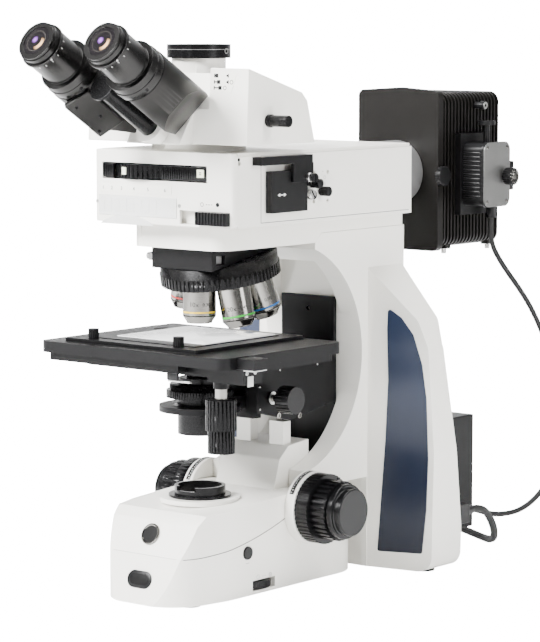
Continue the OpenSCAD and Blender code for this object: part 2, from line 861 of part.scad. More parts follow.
module nosepiece_turret() {
    color(black) nose_frame() difference() {
        union() {
            ribbed(nose_ring_r, ring_skirt, 72, 0.7, 2.6);
            translate([0, 0, ring_skirt]) cylinder(r = nose_ring_r - 1, h = turret_h - ring_skirt);
        }
        translate([0, 0, -1]) cylinder(r = nose_ring_r - 5.5, h = plate_low + 1);
        translate([0, 0, plate_high]) cylinder(r = place_r + 5, h = 20);
        translate([0, 0, -1]) cylinder(r = nose_pin_r + run_gap, h = 40);
        for (k = [0 : place_count - 1]) place(k) translate([0, 0, -20]) cylinder(r = thread_r, h = 60);
    }
    color(black) nose_frame() place(4) {
        translate([0, 0, plate_low - 1.5]) cylinder(r = thread_r - 0.1, h = 5);
        translate([0, 0, plate_low - 5.4]) cylinder(r = thread_r + 0.9, h = 3.5);
    }
}

module objective(k, reach, tip_r) {
    nose_frame() place(k) difference() {
        union() {
            translate([0, 0, plate_low - 3]) cylinder(r = thread_r - 0.1, h = 7);
            translate([0, 0, -2]) cylinder(r = objective_r - 1.1, h = plate_low - 1);
            translate([0, 0, -reach + 6]) cylinder(r = objective_r, h = reach - 8);
            translate([0, 0, -reach + 1]) cylinder(r1 = tip_r, r2 = objective_r, h = 5);
            translate([0, 0, -reach]) cylinder(r = tip_r, h = 2);
        }
        translate([0, 0, -reach - 1]) cylinder(r = tip_r - 5, h = 3);
        translate([0, 0, 0]) cylinder(r = thread_r - 3, h = 30);
    }
}

module objective_red() { color(steel) objective(5, 24, 11.5); }
module objective_yellow() { color(steel) objective(0, 32, 11); }
module objective_green() { color(steel) objective(1, 38, 10.5); }
module objective_blue() { color(steel) objective(2, 38.4, 10); }

module prism_slider() {
    color(grey) {
        translate([-mount_half - 9, -16.8, 286.2]) cube([2 * mount_half + 5, 11, 7]);
        translate([-mount_half - 9, -13.5, 289.7]) rotate([0, -90, 0]) cylinder(r = 3, h = 3);
    }
}

// Stage

module plate(w, d, t, cx, cy, r) {
    translate([cx, cy, 0]) linear_extrude(t) offset(r = r) offset(delta = -r) square([w, d], center = true);
}

// Side wall of the stage bracket, with the short front wall beside the condenser
module carrier_cheek() {
    translate([bracket_half - bracket_t, 0, 0]) rotate([90, 0, 90]) linear_extrude(bracket_t)
        polygon([[bracket_front, carrier_low + 3], [bracket_front + 8, carrier_low + 2.4],
            [bracket_front + 44, carrier_low - 7.2], [bracket_front + 66, carrier_low - 4.3],
            [bracket_back, carrier_low + 0.6], [bracket_back, carrier_top], [bracket_front, carrier_top]]);
    translate([bracket_half - 13, bracket_front, carrier_low + 3])
        cube([13, bracket_t / 2, carrier_top - carrier_low - 3]);
    translate([carrier_half - 0.1, 93, carrier_low]) cube([bracket_half - carrier_half, bracket_back - 93, 30]);
}

module stage_carrier() {
    color(black) difference() {
        union() {
            translate([-carrier_half, 93, carrier_low])
                cube([2 * carrier_half, carrier_back - 93, carrier_top - carrier_low]);
            translate([-carrier_half, guide_y, 168]) cube([2 * carrier_half, 30, carrier_top - 168]);
            translate([-guide_half, guide_front, 145]) cube([2 * guide_half, guide_y - guide_front + 1, carrier_top - 145]);
            translate([0, 0, carrier_top - 5]) plate(150, 150, 5, -6, 20, 4);
            mirrored() carrier_cheek();
        }
        translate([0, condenser_knob_y, condenser_knob_z]) axle(3 + run_gap, 20, 60);
        translate([0, 0, 100]) cylinder(r = 30, h = 200);
        for (s = [-1, 1]) translate([s * (guide_half - 2), guide_front - 1, 140])
            translate([s * 1, 0, 0]) cube([4, 4, 60], center = false);
    }
}

module stage_y_plate() {
    color(black) difference() {
        union() {
            translate([0, 0, carrier_top + slide_gap]) plate(stage_w - 14, stage_d - 10, y_plate_top - carrier_top - slide_gap, stage_x, stage_y, 3);
            translate([knob_x - 6, knob_y - 10, carrier_top - 6]) cube([38, 24, y_plate_top - carrier_top + 6]);
            translate([knob_x, knob_y, 190]) cylinder(r = 6.6, h = carrier_top - 188);
        }
        translate([0, 0, 100]) cylinder(r = 34, h = 200);
        translate([knob_x, knob_y, 150]) cylinder(r = 5 + run_gap, h = 51);
        translate([47, knob_y - 10.01 - far, 150]) cube([far, far, 100]);
    }
}

module stage_x_plate() {
    color(black) difference() {
        union() {
            translate([0, 0, stage_top - stage_t]) plate(stage_w, stage_d, stage_t, stage_x, stage_y, 9);
            translate([knob_x + 14, knob_y - 10, stage_top - stage_t]) cube([30, 17, stage_t - 0.6]);
        }
        translate([0, 0, 100]) cylinder(r = 36, h = 200);
        translate([-88, -6, stage_top - 1.5]) cube([150, 10, 3]);
    }
}

module stage_insert() {
    color(grey) difference() {
        translate([0, 0, stage_top]) plate(149.5, 140, insert_t - 0.6, -12.7, -5, 2);
        translate([0, 0, stage_top - 1]) plate(120, 112, 10, -12.7, -5, 2);
    }
    color(clear) translate([0, 0, stage_top]) plate(119.6, 111.6, insert_t, -12.7, -5, 2);
    color(dark) for (p = [[-62, -66], [34, -66]]) translate([p[0], p[1], stage_top + insert_t - 0.6])
        ribbed(4.6, 8.5, 16, 0.4, 0.8);
}

module stage_y_knob() {
    color(dark) translate([knob_x, knob_y, 0]) {
        translate([0, 0, 155.4]) difference() {
            ribbed(13, 25.4, 24, 0.7, 1.6);
            translate([0, 0, -1]) cylinder(r = 3 + run_gap, h = 60);
        }
        translate([0, 0, 180]) difference() {
            cylinder(r = 5, h = 20);
            translate([0, 0, -1]) cylinder(r = 3 + run_gap, h = 60);
        }
    }
}

module stage_x_knob() {
    color(dark) translate([knob_x, knob_y, 0]) {
        translate([0, 0, 136.2]) ribbed(11.3, 18.8, 24, 0.7, 1.5);
        translate([0, 0, 154]) cylinder(r = 3, h = 45.5);
    }
}

// Condenser

module condenser_carrier() {
    color(dark) difference() {
        union() {
            translate([-20, 20, 157]) cube([40, guide_front - 20.3, 12.5]);
            translate([-20, guide_front - 14, 148]) cube([40, 13.7, 36]);
            translate([0, 0, condenser_seat]) cylinder(r = 35, h = condenser_neck - condenser_seat);
        }
        translate([0, 0, 150]) cylinder(r = condenser_r + 0.35, h = 60);
    }
}

module condenser_body() {
    color(dark) difference() {
        union() {
            translate([0, 0, condenser_top - 5]) cylinder(r = 18.4, h = 5);
            translate([0, 0, aperture_low - 1]) cylinder(r = 17.6, h = condenser_top - aperture_low - 3);
            translate([0, 0, condenser_neck - 1]) cylinder(r = 19.3, h = aperture_low - condenser_neck + 0.9);
            translate([0, 0, condenser_seat]) cylinder(r = condenser_r, h = condenser_neck - condenser_seat);
            translate([0, 0, 138.3]) cylinder(r = 18.9, h = condenser_seat - 138);
        }
        translate([0, 0, 130]) cylinder(r = condenser_lens_r - 4.5, h = 100);
    }
    color(clear) {
        translate([0, 0, condenser_top - 5]) cylinder(r = condenser_lens_r - 4.55, h = 4.6);
        translate([0, 0, 140]) cylinder(r = condenser_lens_r - 4.55, h = 4);
    }
}

module condenser_aperture_ring() {
    color(black) translate([0, 0, aperture_low]) difference() {
        union() {
            ribbed(28.7, 6.4, 72, 0.5, 1.2);
            cylinder(r = 26, h = 11.6);
            translate([-33.4, -3.5, 0.2]) cube([11, 7, 5]);
        }
        translate([0, 0, -1]) cylinder(r = 17.6 + run_gap, h = 20);
    }
}

module condenser_knob() {
    color(black) translate([0, condenser_knob_y, condenser_knob_z]) {
        axle(3, 30, 55);
        translate([53, 0, 0]) rotate([0, 90, 0]) ribbed(12, 14.5, 24, 0.5, 1.2);
        axle(5.5, bracket_half, bracket_half + 2);
    }
}

// Focus drive

module focus_collars() {
    color(white) mirrored() translate([0, focus_y, focus_z]) rotate([0, 90, 0])
        translate([0, 0, core_half]) ring(collar_r, tube_r + run_gap, collar_w);
}

module coarse_knobs() {
    start = core_half + collar_w + knob_gap;
    color(black) translate([0, focus_y, focus_z]) {
        difference() {
            axle(tube_r, -start - tension_w - knob_gap, start + tension_w + knob_gap);
            axle(core_r + run_gap, -far, far);
        }
        for (s = [0, 1]) mirror([s, 0, 0]) difference() {
            translate([start + tension_w + knob_gap, 0, 0]) rotate([0, 90, 0]) ribbed(coarse_r, coarse_w, 30, 1.2, 2.4);
            axle(core_r + run_gap, -far, far);
        }
        mirror([1, 0, 0]) difference() {
            axle(tension_r - 1, start, start + tension_w);
            axle(tube_r, -far, far);
        }
    }
}

module fine_knobs() {
    start = core_half + collar_w + 2 * knob_gap + tension_w + coarse_w + knob_gap;
    color(dark) translate([0, focus_y, focus_z]) {
        axle(core_r, -start, start);
        mirrored() translate([start, 0, 0]) rotate([0, 90, 0]) {
            cylinder(r = fine_r + 3.5, h = 6);
            translate([0, 0, 6]) cylinder(r = fine_r, h = fine_w - 6);
        }
    }
}

module tension_ring() {
    start = core_half + collar_w + knob_gap;
    color(black) translate([start, focus_y, focus_z]) rotate([0, 90, 0]) difference() {
        ribbed(tension_r, tension_w, 48, 0.6, 2);
        translate([0, 0, -1]) cylinder(r = tube_r + run_gap, h = 60);
    }
}

module field_diaphragm_ring() {
    color(black) translate([0, 0, disc_top + 0.2]) difference() {
        union() {
            cylinder(r = outlet_flange_r, h = 2);
            cylinder(r = outlet_r, h = 9.5);
        }
        translate([0, 0, -1]) cylinder(r = outlet_r - 3, h = 20);
        translate([0, -outlet_r, 6]) rotate([0, 0, -25]) translate([-9, -8, 0]) cube([18, 16, 6]);
    }
}

// Controls on the right side of the base

module power_button() {
    color(black) translate([0, button_y, button_z]) {
        axle(button_r, core_half - base_wall - 2, core_half + 1.6);
        axle(button_r + 2, core_half - base_wall - 4.3, core_half - base_wall - 0.3);
    }
}

module brightness_wheel() {
    color(black) translate([core_half - wheel_x_in, wheel_y, wheel_z - thumb_t / 2]) difference() {
        ribbed(thumb_r, thumb_t, 40, 0.5, 1.1);
        translate([0, 0, -1]) cylinder(r = post_r + run_gap, h = thumb_t + 2);
    }
}

// Lamphouse

module lamp_front_cover() {
    color(black) difference() {
        along(lamp_front, lamp_front + cover_t) offset(r = 6) offset(delta = -6)
            polygon([[-lamp_half, lamp_low], [lamp_half, lamp_low], [lamp_half, lamp_low + lamp_h - 3],
                     [0, lamp_low + lamp_h], [-lamp_half, lamp_low + lamp_h - 3]]);
        translate([0, lamp_front - 1, lamp_z]) rotate([-90, 0, 0]) cylinder(r = 20, h = 40);
        translate([0, lamp_front + cover_t / 2, collector_z]) axle(3 + run_gap, lamp_half - 12, far);
    }
    color(grey) difference() {
        translate([0, illum_back, lamp_z]) rotate([-90, 0, 0]) cylinder(r = tube_port_r, h = lamp_front - illum_back);
        translate([0, illum_back - 1, lamp_z]) rotate([-90, 0, 0]) cylinder(r = 20, h = far);
    }
}

module lamp_outline(inset) {
    offset(delta = -inset) offset(r = 10) offset(delta = -10)
        polygon([[-lamp_half, lamp_low + 3], [lamp_half, lamp_low + 3], [lamp_half, lamp_low + lamp_h - 5],
                 [-lamp_half, lamp_low + lamp_h - 5]]);
}

module lamp_body() {
    rib_pitch = (lamp_d - 8) / rib_count;
    color(black) difference() {
        union() {
            along(lamp_front + cover_t + 0.2, lamp_front + cover_t + lamp_d) lamp_outline(4);
            for (i = [0 : rib_count]) along(lamp_front + cover_t + 2 + i * rib_pitch,
                lamp_front + cover_t + 4.2 + i * rib_pitch) lamp_outline(0);
            mirrored() for (y = [lamp_front + cover_t + 10, lamp_front + cover_t + lamp_d - 14])
                translate([lamp_half - 12, y, lamp_low + 1]) cube([8, 8, 8]);
        }
        along(lamp_front + cover_t - 1, lamp_front + cover_t + lamp_d - 5) lamp_outline(8);
        translate([0, holder_y, 0]) translate([lamp_half - 10, -holder_half - 3, lamp_low + 32])
            cube([20, 2 * holder_half + 6, 76]);
    }
}

module holder_slab(t, d, h) {
    rotate([90, 0, 90]) linear_extrude(t) offset(r = 7) square([d - 14, h - 14], center = true);
}

module lamp_holder() {
    color(black) {
        translate([lamp_half - 12, holder_y - holder_half - 2.6, lamp_low + 32.4]) cube([18, 2 * holder_half + 5.2, 75.2]);
        translate([lamp_half + 6, holder_y, holder_mid]) holder_slab(holder_w - 8, 2 * holder_half, 58);
        translate([0, holder_y, lamp_z]) axle(9, 0, lamp_half - 11);
    }
    color(clear) translate([0, holder_y, lamp_z]) sphere(r = 8.9);
    color(steel) difference() {
        translate([lamp_half + holder_w - 2, holder_y, holder_mid]) holder_slab(2.5, 2 * holder_half + 2, 60);
        translate([0, holder_y + 12, lamp_z - 4]) axle(3 + run_gap, lamp_half + 10, far);
    }
    color(black) {
        translate([lamp_half + 14, holder_y + 7, lamp_low + 98]) cylinder(r = 3, h = 17.5);
        translate([lamp_half + 14, holder_y + 7, lamp_low + 115]) cylinder(r = 8, h = 4);
        translate([lamp_half + 14, holder_y + 15, lamp_low + 28.4]) cylinder(r = 4.6, h = 13);
    }
}

module bulb_knob() {
    color(black) translate([0, holder_y + 12, lamp_z - 4]) {
        axle(3, lamp_half + holder_w - 1.8, lamp_half + holder_w + 4);
        translate([lamp_half + holder_w + 4, 0, 0]) rotate([0, 90, 0]) ribbed(8, 8, 18, 0.5, 1);
    }
}

module collector_knob() {
    color(black) translate([0, lamp_front + cover_t / 2, collector_z]) {
        axle(3, lamp_half - 10, lamp_half + 1);
        translate([lamp_half + 0.3, 0, 0]) rotate([0, 90, 0]) ribbed(9, 5, 20, 0.5, 1.1);
    }
}

// Cords: a tube swept along the route's own points

function unit(v) = v / norm(v);
function ahead(route, i) = unit(route[min(i + 1, len(route) - 1)] - route[max(i - 1, 0)]);
function side_of(d) = abs(d[2]) > 0.95 ? unit(cross(d, [1, 0, 0])) : unit(cross(d, [0, 0, 1]));
function ring_points(route, r, sides) = [for (i = [0 : len(route) - 1])
    let (d = ahead(route, i), a = side_of(d), b = cross(d, a))
    for (k = [0 : sides - 1]) route[i] + r * (cos(360 * k / sides) * a + sin(360 * k / sides) * b)];
function tube_faces(rings, sides) = concat(
    [[for (k = [0 : sides - 1]) k]],
    [for (i = [0 : rings - 2]) for (k = [0 : sides - 1])
        [i * sides + k, (i + 1) * sides + k, (i + 1) * sides + (k + 1) % sides, i * sides + (k + 1) % sides]],
    [[for (k = [sides - 1 : -1 : 0]) (rings - 1) * sides + k]]);

module tube(route, r, sides) {
    polyhedron(points = ring_points(route, r, sides), faces = tube_faces(len(route), sides));
}

mains_route = [[101, 262, 47], [101, 273, 46], [100, 284, 42], [98, 294, 35], [95, 304, 26], [90, 314, 17],
               [82, 324, 9], [71, 333, 5], [59, 341, 4], [45, 349, 4], [31, 357, 4], [17, 365, 4],
               [3, 373, 4], [-11, 382, 4], [-25, 390, 4], [-37, 397, 4]];
lamp_route = [[60, 347, 306], [60, 347, 293], [61, 350, 279], [64, 357, 266], [67, 367, 253], [71, 379, 238],
              [75, 392, 220], [79, 404, 198], [83, 414, 172], [87, 420, 144], [90, 421, 116], [92, 416, 90],
              [93, 406, 67], [93, 391, 49], [92, 373, 38], [90, 354, 32], [88, 335, 31], [86, 317, 33],
              [84, 299, 38], [83, 284, 43], [83, 272, 46], [83, 262, 47]];

module mains_cord() { color(black) tube(mains_route, cord_r, 10); }
module lamp_cord() { color(black) tube(lamp_route, lamp_cord_r, 8); }

// The spare length lies coiled on the table with its wall plug on top
module mains_coil() {
    color(black) translate([coil_x, coil_y, 0]) {
        rotate_extrude($fn = 48) translate([coil_r, coil_half_h + 0.5]) offset(r = 4, $fn = 16)
            offset(delta = -4) square([2 * coil_half_w, 2 * coil_half_h], center = true);
        rotate([0, 0, coil_plug_at]) translate([coil_r + 2, 0, 2 * coil_half_h + 0.3]) rotate([0, 0, 90]) {
            translate([-17, -12, 0]) cube([34, 24, 18]);
            for (y = [-6, 6]) translate([16, y - 1, 7]) cube([19, 2, 4]);
            translate([-23, 0, 9]) axle(cord_r + 1, 0, 8);
        }
    }
}

module cord_plugs() {
    color(black) {
        translate([socket_x - 9, socket_y, socket_z - 9]) cube([18, 32, 18]);
        translate([socket_x, socket_y + 31, socket_z]) rotate([-90, 0, 0])
            cylinder(r1 = 6, r2 = 4, h = plug_end - socket_y - 31.3);
        translate([lamp_socket_x, socket_y, socket_z]) rotate([-90, 0, 0]) cylinder(r = 7, h = 34);
        translate([lamp_socket_x, socket_y + 33, socket_z]) rotate([-90, 0, 0])
            cylinder(r1 = 4.5, r2 = 3, h = plug_end - socket_y - 33.3);
    }
}

base_pan();
base_cover();
rubber_feet();
stand_lenses();
column_shell();
side_inlays();
guard_plate();
rear_lamp_box();
limb();
illuminator_housing();
turret_front_cover();
head_housing();
camera_clamp_ring();
hinge_shaft();
nosepiece_mount();
polariser_plate();
centring_knob();
focus_collars();
lamp_front_cover();
lamp_body();
lamp_holder();
field_diaphragm_ring();
filter_wheel();
shutter_slider();
light_path_rod();
right_arm();
left_arm();
right_eyepiece();
left_eyepiece();
right_dioptre_ring();
left_dioptre_ring();
nosepiece_turret();
objective_red();
objective_yellow();
objective_green();
objective_blue();
prism_slider();
analyser_slider();
stop_knob();
stage_carrier();
stage_y_plate();
stage_x_plate();
stage_insert();
stage_y_knob();
stage_x_knob();
condenser_carrier();
condenser_body();
condenser_aperture_ring();
condenser_knob();
coarse_knobs();
fine_knobs();
tension_ring();
power_button();
brightness_wheel();
collector_knob();
bulb_knob();
mains_cord();
mains_coil();
cord_plugs();
lamp_cord();
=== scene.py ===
# %% [markdown]
# A trinocular microscope, dressed for its portrait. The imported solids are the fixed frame: each one is
# carried over as a welded, softened copy with a finish of its own, and small details are added on it.
# Everything is in metres, +Z is up, and the user sits on the -Y side.

# %% Load the frame
import bpy, bmesh, json, math
from mathutils import Matrix, Vector, Euler

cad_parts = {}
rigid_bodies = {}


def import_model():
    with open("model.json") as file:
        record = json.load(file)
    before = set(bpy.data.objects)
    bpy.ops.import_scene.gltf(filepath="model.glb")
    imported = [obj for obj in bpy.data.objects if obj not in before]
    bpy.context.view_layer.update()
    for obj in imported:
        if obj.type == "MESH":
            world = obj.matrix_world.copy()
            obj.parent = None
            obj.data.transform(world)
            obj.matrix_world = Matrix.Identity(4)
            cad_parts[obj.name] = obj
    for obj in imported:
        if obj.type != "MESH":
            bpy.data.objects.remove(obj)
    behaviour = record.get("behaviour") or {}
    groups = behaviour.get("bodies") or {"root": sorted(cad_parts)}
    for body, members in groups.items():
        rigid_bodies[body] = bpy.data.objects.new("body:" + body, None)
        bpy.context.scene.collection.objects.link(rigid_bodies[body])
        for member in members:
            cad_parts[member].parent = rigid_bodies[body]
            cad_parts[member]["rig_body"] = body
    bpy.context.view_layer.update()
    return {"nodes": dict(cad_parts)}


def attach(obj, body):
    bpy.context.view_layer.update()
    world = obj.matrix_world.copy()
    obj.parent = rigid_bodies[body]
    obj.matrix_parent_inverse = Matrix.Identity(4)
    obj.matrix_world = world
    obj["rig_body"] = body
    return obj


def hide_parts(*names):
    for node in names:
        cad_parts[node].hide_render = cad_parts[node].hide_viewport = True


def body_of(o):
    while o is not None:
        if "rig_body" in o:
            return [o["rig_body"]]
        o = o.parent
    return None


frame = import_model()
mm = 0.001

# %% [markdown]
# The camera stands where the photographer's did: to the user's right, a little above the stage, far off
# with a long lens so that the upright edges stay nearly parallel. The lens length follows from the
# photograph's scale, with 36 mm of film for its longer side.

# %% Camera
photo_azimuth = math.radians(39.35)
camera_data = bpy.data.cameras.new("portrait_lens")
camera_data.sensor_width = 36
camera_data.lens = 156.28
camera_data.clip_end = 50
camera = bpy.data.objects.new("portrait_camera", camera_data)
camera.location = (1.54747, -1.79225, 0.50093)
camera.rotation_euler = (math.radians(83.59), 0, photo_azimuth)
bpy.context.scene.collection.objects.link(camera)
bpy.context.scene.camera = camera
print("camera lens", round(camera_data.lens, 1), "mm")

# %% [markdown]
# Shader maths reads better as plain sums. This small class wraps one socket of a node tree, so that
# adding, multiplying or mixing two of them adds the nodes that do it.

# %% Shader sums
class Wire:
    def __init__(self, tree, socket):
        self.tree, self.socket = tree, socket

    def math(self, operation, other, swap=False):
        node = self.tree.nodes.new("ShaderNodeMath")
        node.operation = operation
        first, second = (other, self) if swap else (self, other)
        for place, value in ((0, first), (1, second)):
            if isinstance(value, Wire):
                self.tree.links.new(value.socket, node.inputs[place])
            elif value is not None:
                node.inputs[place].default_value = value
        return Wire(self.tree, node.outputs[0])

    def __add__(self, other): return self.math("ADD", other)
    def __radd__(self, other): return self.math("ADD", other, True)
    def __sub__(self, other): return self.math("SUBTRACT", other)
    def __rsub__(self, other): return self.math("SUBTRACT", other, True)
    def __mul__(self, other): return self.math("MULTIPLY", other)
    def __rmul__(self, other): return self.math("MULTIPLY", other, True)
    def __gt__(self, other): return self.math("GREATER_THAN", other)
    def __lt__(self, other): return self.math("LESS_THAN", other)
    def at_least(self, other): return self.math("MAXIMUM", other)


class Finish:
    """A Principled material whose varying parts are written as sums on Object coordinates."""

    def __init__(self, name, **constants):
        self.material = bpy.data.materials.new(name)
        self.material.use_nodes = True
        self.tree = self.material.node_tree
        self.shader = self.tree.nodes["Principled BSDF"]
        self.place = self.node("ShaderNodeTexCoord", out="Object")
        for key, value in constants.items():
            self.shader.inputs[key.replace("_", " ")].default_value = value

    def node(self, kind, settings=None, out=0, **sockets):
        node = self.tree.nodes.new(kind)
        for key, value in (settings or {}).items():
            setattr(node, key, value)
        for key, value in sockets.items():
            target = node.inputs[int(key[1:])] if key[0] == "i" and key[1:].isdigit() else \
                node.inputs[key.replace("_", " ")]
            if isinstance(value, Wire):
                self.tree.links.new(value.socket, target)
            else:
                target.default_value = value
        return Wire(self.tree, node.outputs[out])

    def noise(self, scale, detail=3, rough=0.5, on=None):
        return self.node("ShaderNodeTexNoise", Vector=on or self.place, Scale=scale, Detail=detail,
                         Roughness=rough)

    def tint(self, amount, low, high):
        return self.node("ShaderNodeMix", {"data_type": "RGBA"}, out=2, i0=amount,
                         i6=(*low, 1), i7=(*high, 1)) if not isinstance(low, Wire) else \
            self.node("ShaderNodeMix", {"data_type": "RGBA"}, out=2, i0=amount, i6=low, i7=high)

    def feed(self, socket, wire):
        self.tree.links.new(wire.socket, self.shader.inputs[socket])
        return self

    def relief(self, height, strength, distance):
        bump = self.node("ShaderNodeBump", Height=height, Strength=strength, Distance=distance)
        return self.feed("Normal", bump)

    def axis(self, name):
        return self.node("ShaderNodeSeparateXYZ", out=name, Vector=self.place)


print("shader class ready")

# %% [markdown]
# Stoved enamel on castings: warm white, satin, with the faint orange peel that spraying leaves and a
# breath of unevenness in the gloss. The same recipe in black and graphite gives the instrument paints.

# %% Paints
def sprayed(name, low, high, roughness, peel, grain=900.0, coat=0.0):
    f = Finish(name, Coat_Weight=coat, Coat_Roughness=0.15, Specular_IOR_Level=0.5 if low[0] > 0.1 else 0.13)
    cloud = f.noise(14, 4)
    f.feed("Base Color", f.tint(cloud, low, high))
    f.feed("Roughness", roughness - 0.05 + 0.1 * f.noise(60, 3))
    return f.relief(f.noise(grain, 2), peel, 0.0004)


white_enamel = sprayed("white_enamel", (0.80, 0.782, 0.728), (0.84, 0.825, 0.775), 0.33, 0.08, 700, 0.25)
black_enamel = sprayed("black_enamel", (0.003, 0.003, 0.0033), (0.006, 0.006, 0.0064), 0.36, 0.25, 1500)
lamp_black = sprayed("lamp_black", (0.0045, 0.0042, 0.0038), (0.008, 0.0074, 0.0068), 0.34, 0.35, 1800)
# shadow_black is painted shade in the side hole, the screw slots and the objective grooves, and plain black paint
# on other parts
shadow_black = sprayed("shadow_black", (0.001, 0.001, 0.001), (0.0025, 0.0025, 0.0025), 0.6, 0.2, 900)
pale_grey = sprayed("pale_grey_enamel", (0.52, 0.52, 0.50), (0.58, 0.58, 0.56), 0.4, 0.1, 900)
print("paints ready")

# %% [markdown]
# The eyepiece tubes are anodised and turned: nearly black metal that still throws long soft
# highlights. The turning marks run round each tube's own axis, so the pattern is built on a
# coordinate along that axis.

# %% Anodised and bare metals
def metal(name, low, high, roughness, metallic, lines=0.0, along=(0, 0, 1), fine=1400.0):
    f = Finish(name, Metallic=metallic, Specular_IOR_Level=0.5 if low[0] > 0.1 else 0.2)
    f.feed("Base Color", f.tint(f.noise(40, 4), low, high))
    grain = f.noise(fine, 2)
    if lines:
        reach = f.node("ShaderNodeVectorMath", {"operation": "DOT_PRODUCT"}, out="Value", i0=f.place, i1=along)
        spun = f.node("ShaderNodeTexNoise", {"noise_dimensions": "1D"}, W=reach, Scale=lines, Detail=3.0)
        grain = grain * 0.35 + spun * 0.65
    f.feed("Roughness", roughness - 0.08 + 0.16 * grain)
    return f.relief(grain, 0.12, 0.0002)


tube_rise = 31
lean = (0, -math.cos(math.radians(tube_rise)), math.sin(math.radians(tube_rise)))
graphite = metal("graphite_tube", (0.018, 0.0176, 0.017), (0.028, 0.0272, 0.0265), 0.36, 0.8, 2500.0, lean)
anodised = metal("black_anodised", (0.005, 0.005, 0.0054), (0.01, 0.01, 0.0104), 0.26, 0.5)
anodised_lean = metal("black_anodised_eyepiece", (0.022, 0.022, 0.022), (0.034, 0.033, 0.032), 0.24, 0.9, 2500.0,
                      lean)
satin_steel = metal("satin_steel", (0.50, 0.50, 0.49), (0.60, 0.60, 0.58), 0.3, 1.0)
satin_chrome = metal("satin_chrome", (0.20, 0.195, 0.18), (0.27, 0.262, 0.245), 0.16, 1.0, 1800.0)
grey_anodised = metal("grey_anodised", (0.23, 0.23, 0.23), (0.3, 0.3, 0.3), 0.4, 0.7)
print("metals ready")

# %% [markdown]
# Moulded plastic is duller than the paint and has a fine spark-eroded grain. Rubber is duller still.
# The navy film on the wings is a smooth printed foil; its colour is made darker towards its foot, as painted
# shade.

# %% Plastics, film and glass
def moulded(name, low, high, roughness, strength, grain=2200.0):
    f = Finish(name, Specular_IOR_Level=0.5 if low[0] > 0.1 else 0.2)
    f.feed("Base Color", f.tint(f.noise(30, 3), low, high))
    speck = f.noise(grain, 2, 0.6)
    f.feed("Roughness", roughness - 0.06 + 0.12 * speck)
    return f.relief(speck, strength, 0.0003)


black_plastic = moulded("black_plastic", (0.0035, 0.0035, 0.0038), (0.007, 0.007, 0.0073), 0.3, 0.2)
knob_plastic = moulded("knob_plastic", (0.003, 0.003, 0.0034), (0.006, 0.006, 0.0064), 0.24, 0.15)
matt_rubber = moulded("matt_rubber", (0.012, 0.012, 0.012), (0.02, 0.02, 0.02), 0.7, 0.3, 1500)
cord_jacket = moulded("cord_jacket", (0.012, 0.012, 0.012), (0.018, 0.018, 0.018), 0.5, 0.12)
print_white = moulded("print_white", (0.72, 0.72, 0.70), (0.78, 0.78, 0.76), 0.5, 0.05)
print_grey = moulded("print_grey", (0.42, 0.42, 0.40), (0.48, 0.48, 0.46), 0.5, 0.05)
print_black = moulded("print_black", (0.004, 0.004, 0.004), (0.008, 0.008, 0.008), 0.5, 0.05)
label_glow = moulded("label_cream", (0.80, 0.84, 0.62), (0.86, 0.90, 0.70), 0.4, 0.02)

navy_film = Finish("navy_film", Coat_Weight=0.15, Coat_Roughness=0.2, Specular_IOR_Level=0.25)
# painted shade: the film's colour darkens towards its foot, by height
fall = (navy_film.axis("Z") - 0.02) * 4.4
navy_film.feed("Base Color", navy_film.tint(fall, (0.003, 0.005, 0.014), (0.016, 0.025, 0.055)))
navy_film.feed("Roughness", 0.34 + 0.08 * navy_film.noise(90, 3))
navy_film.relief(navy_film.noise(1400, 2), 0.06, 0.0002)


def glass(name, colour, roughness=0.03, weight=1.0, alpha=1.0):
    f = Finish(name, Transmission_Weight=weight, IOR=1.5, Alpha=alpha)
    f.feed("Base Color", f.tint(f.noise(12, 2), colour, tuple(min(1, c * 1.05) for c in colour)))
    f.feed("Roughness", roughness + 0.02 * f.noise(30, 2))
    return f


clear_glass = glass("clear_glass", (0.86, 0.9, 0.92))
print("plastics, film and glass ready")

# %% [markdown]
# Every solid of the frame comes as loose triangles. Each is copied, welded, and its flat faces are
# merged back into whole ones. Then the long edges between large faces are rounded by a bevel, because
# it is the bright line along a rounded edge that makes a casting look cast. The bevel leaves small
# holes and ribs alone. Ribbed knobs, with no bevel, and the round eyepiece arms keep plain normals,
# because evened ones show as streaks along them. The copy then stands for its node.

# %% Carry a node over
def shade(mesh, angle):
    for face in mesh.polygons:
        face.use_smooth = True
    mesh.set_sharp_from_angle(angle=math.radians(angle))


def even_normals(piece):
    """Large faces keep their flat look beside a rounded edge, and the result is a plain mesh."""
    weigh = piece.modifiers.new("even_normals", "WEIGHTED_NORMAL")
    weigh.keep_sharp = True
    graph = bpy.context.evaluated_depsgraph_get()
    whole = bpy.data.meshes.new_from_object(piece.evaluated_get(graph))
    piece.modifiers.clear()
    piece.data = whole


bevel_from = 32
streaky = ("right_arm", "left_arm", "right_eyepiece", "left_eyepiece")


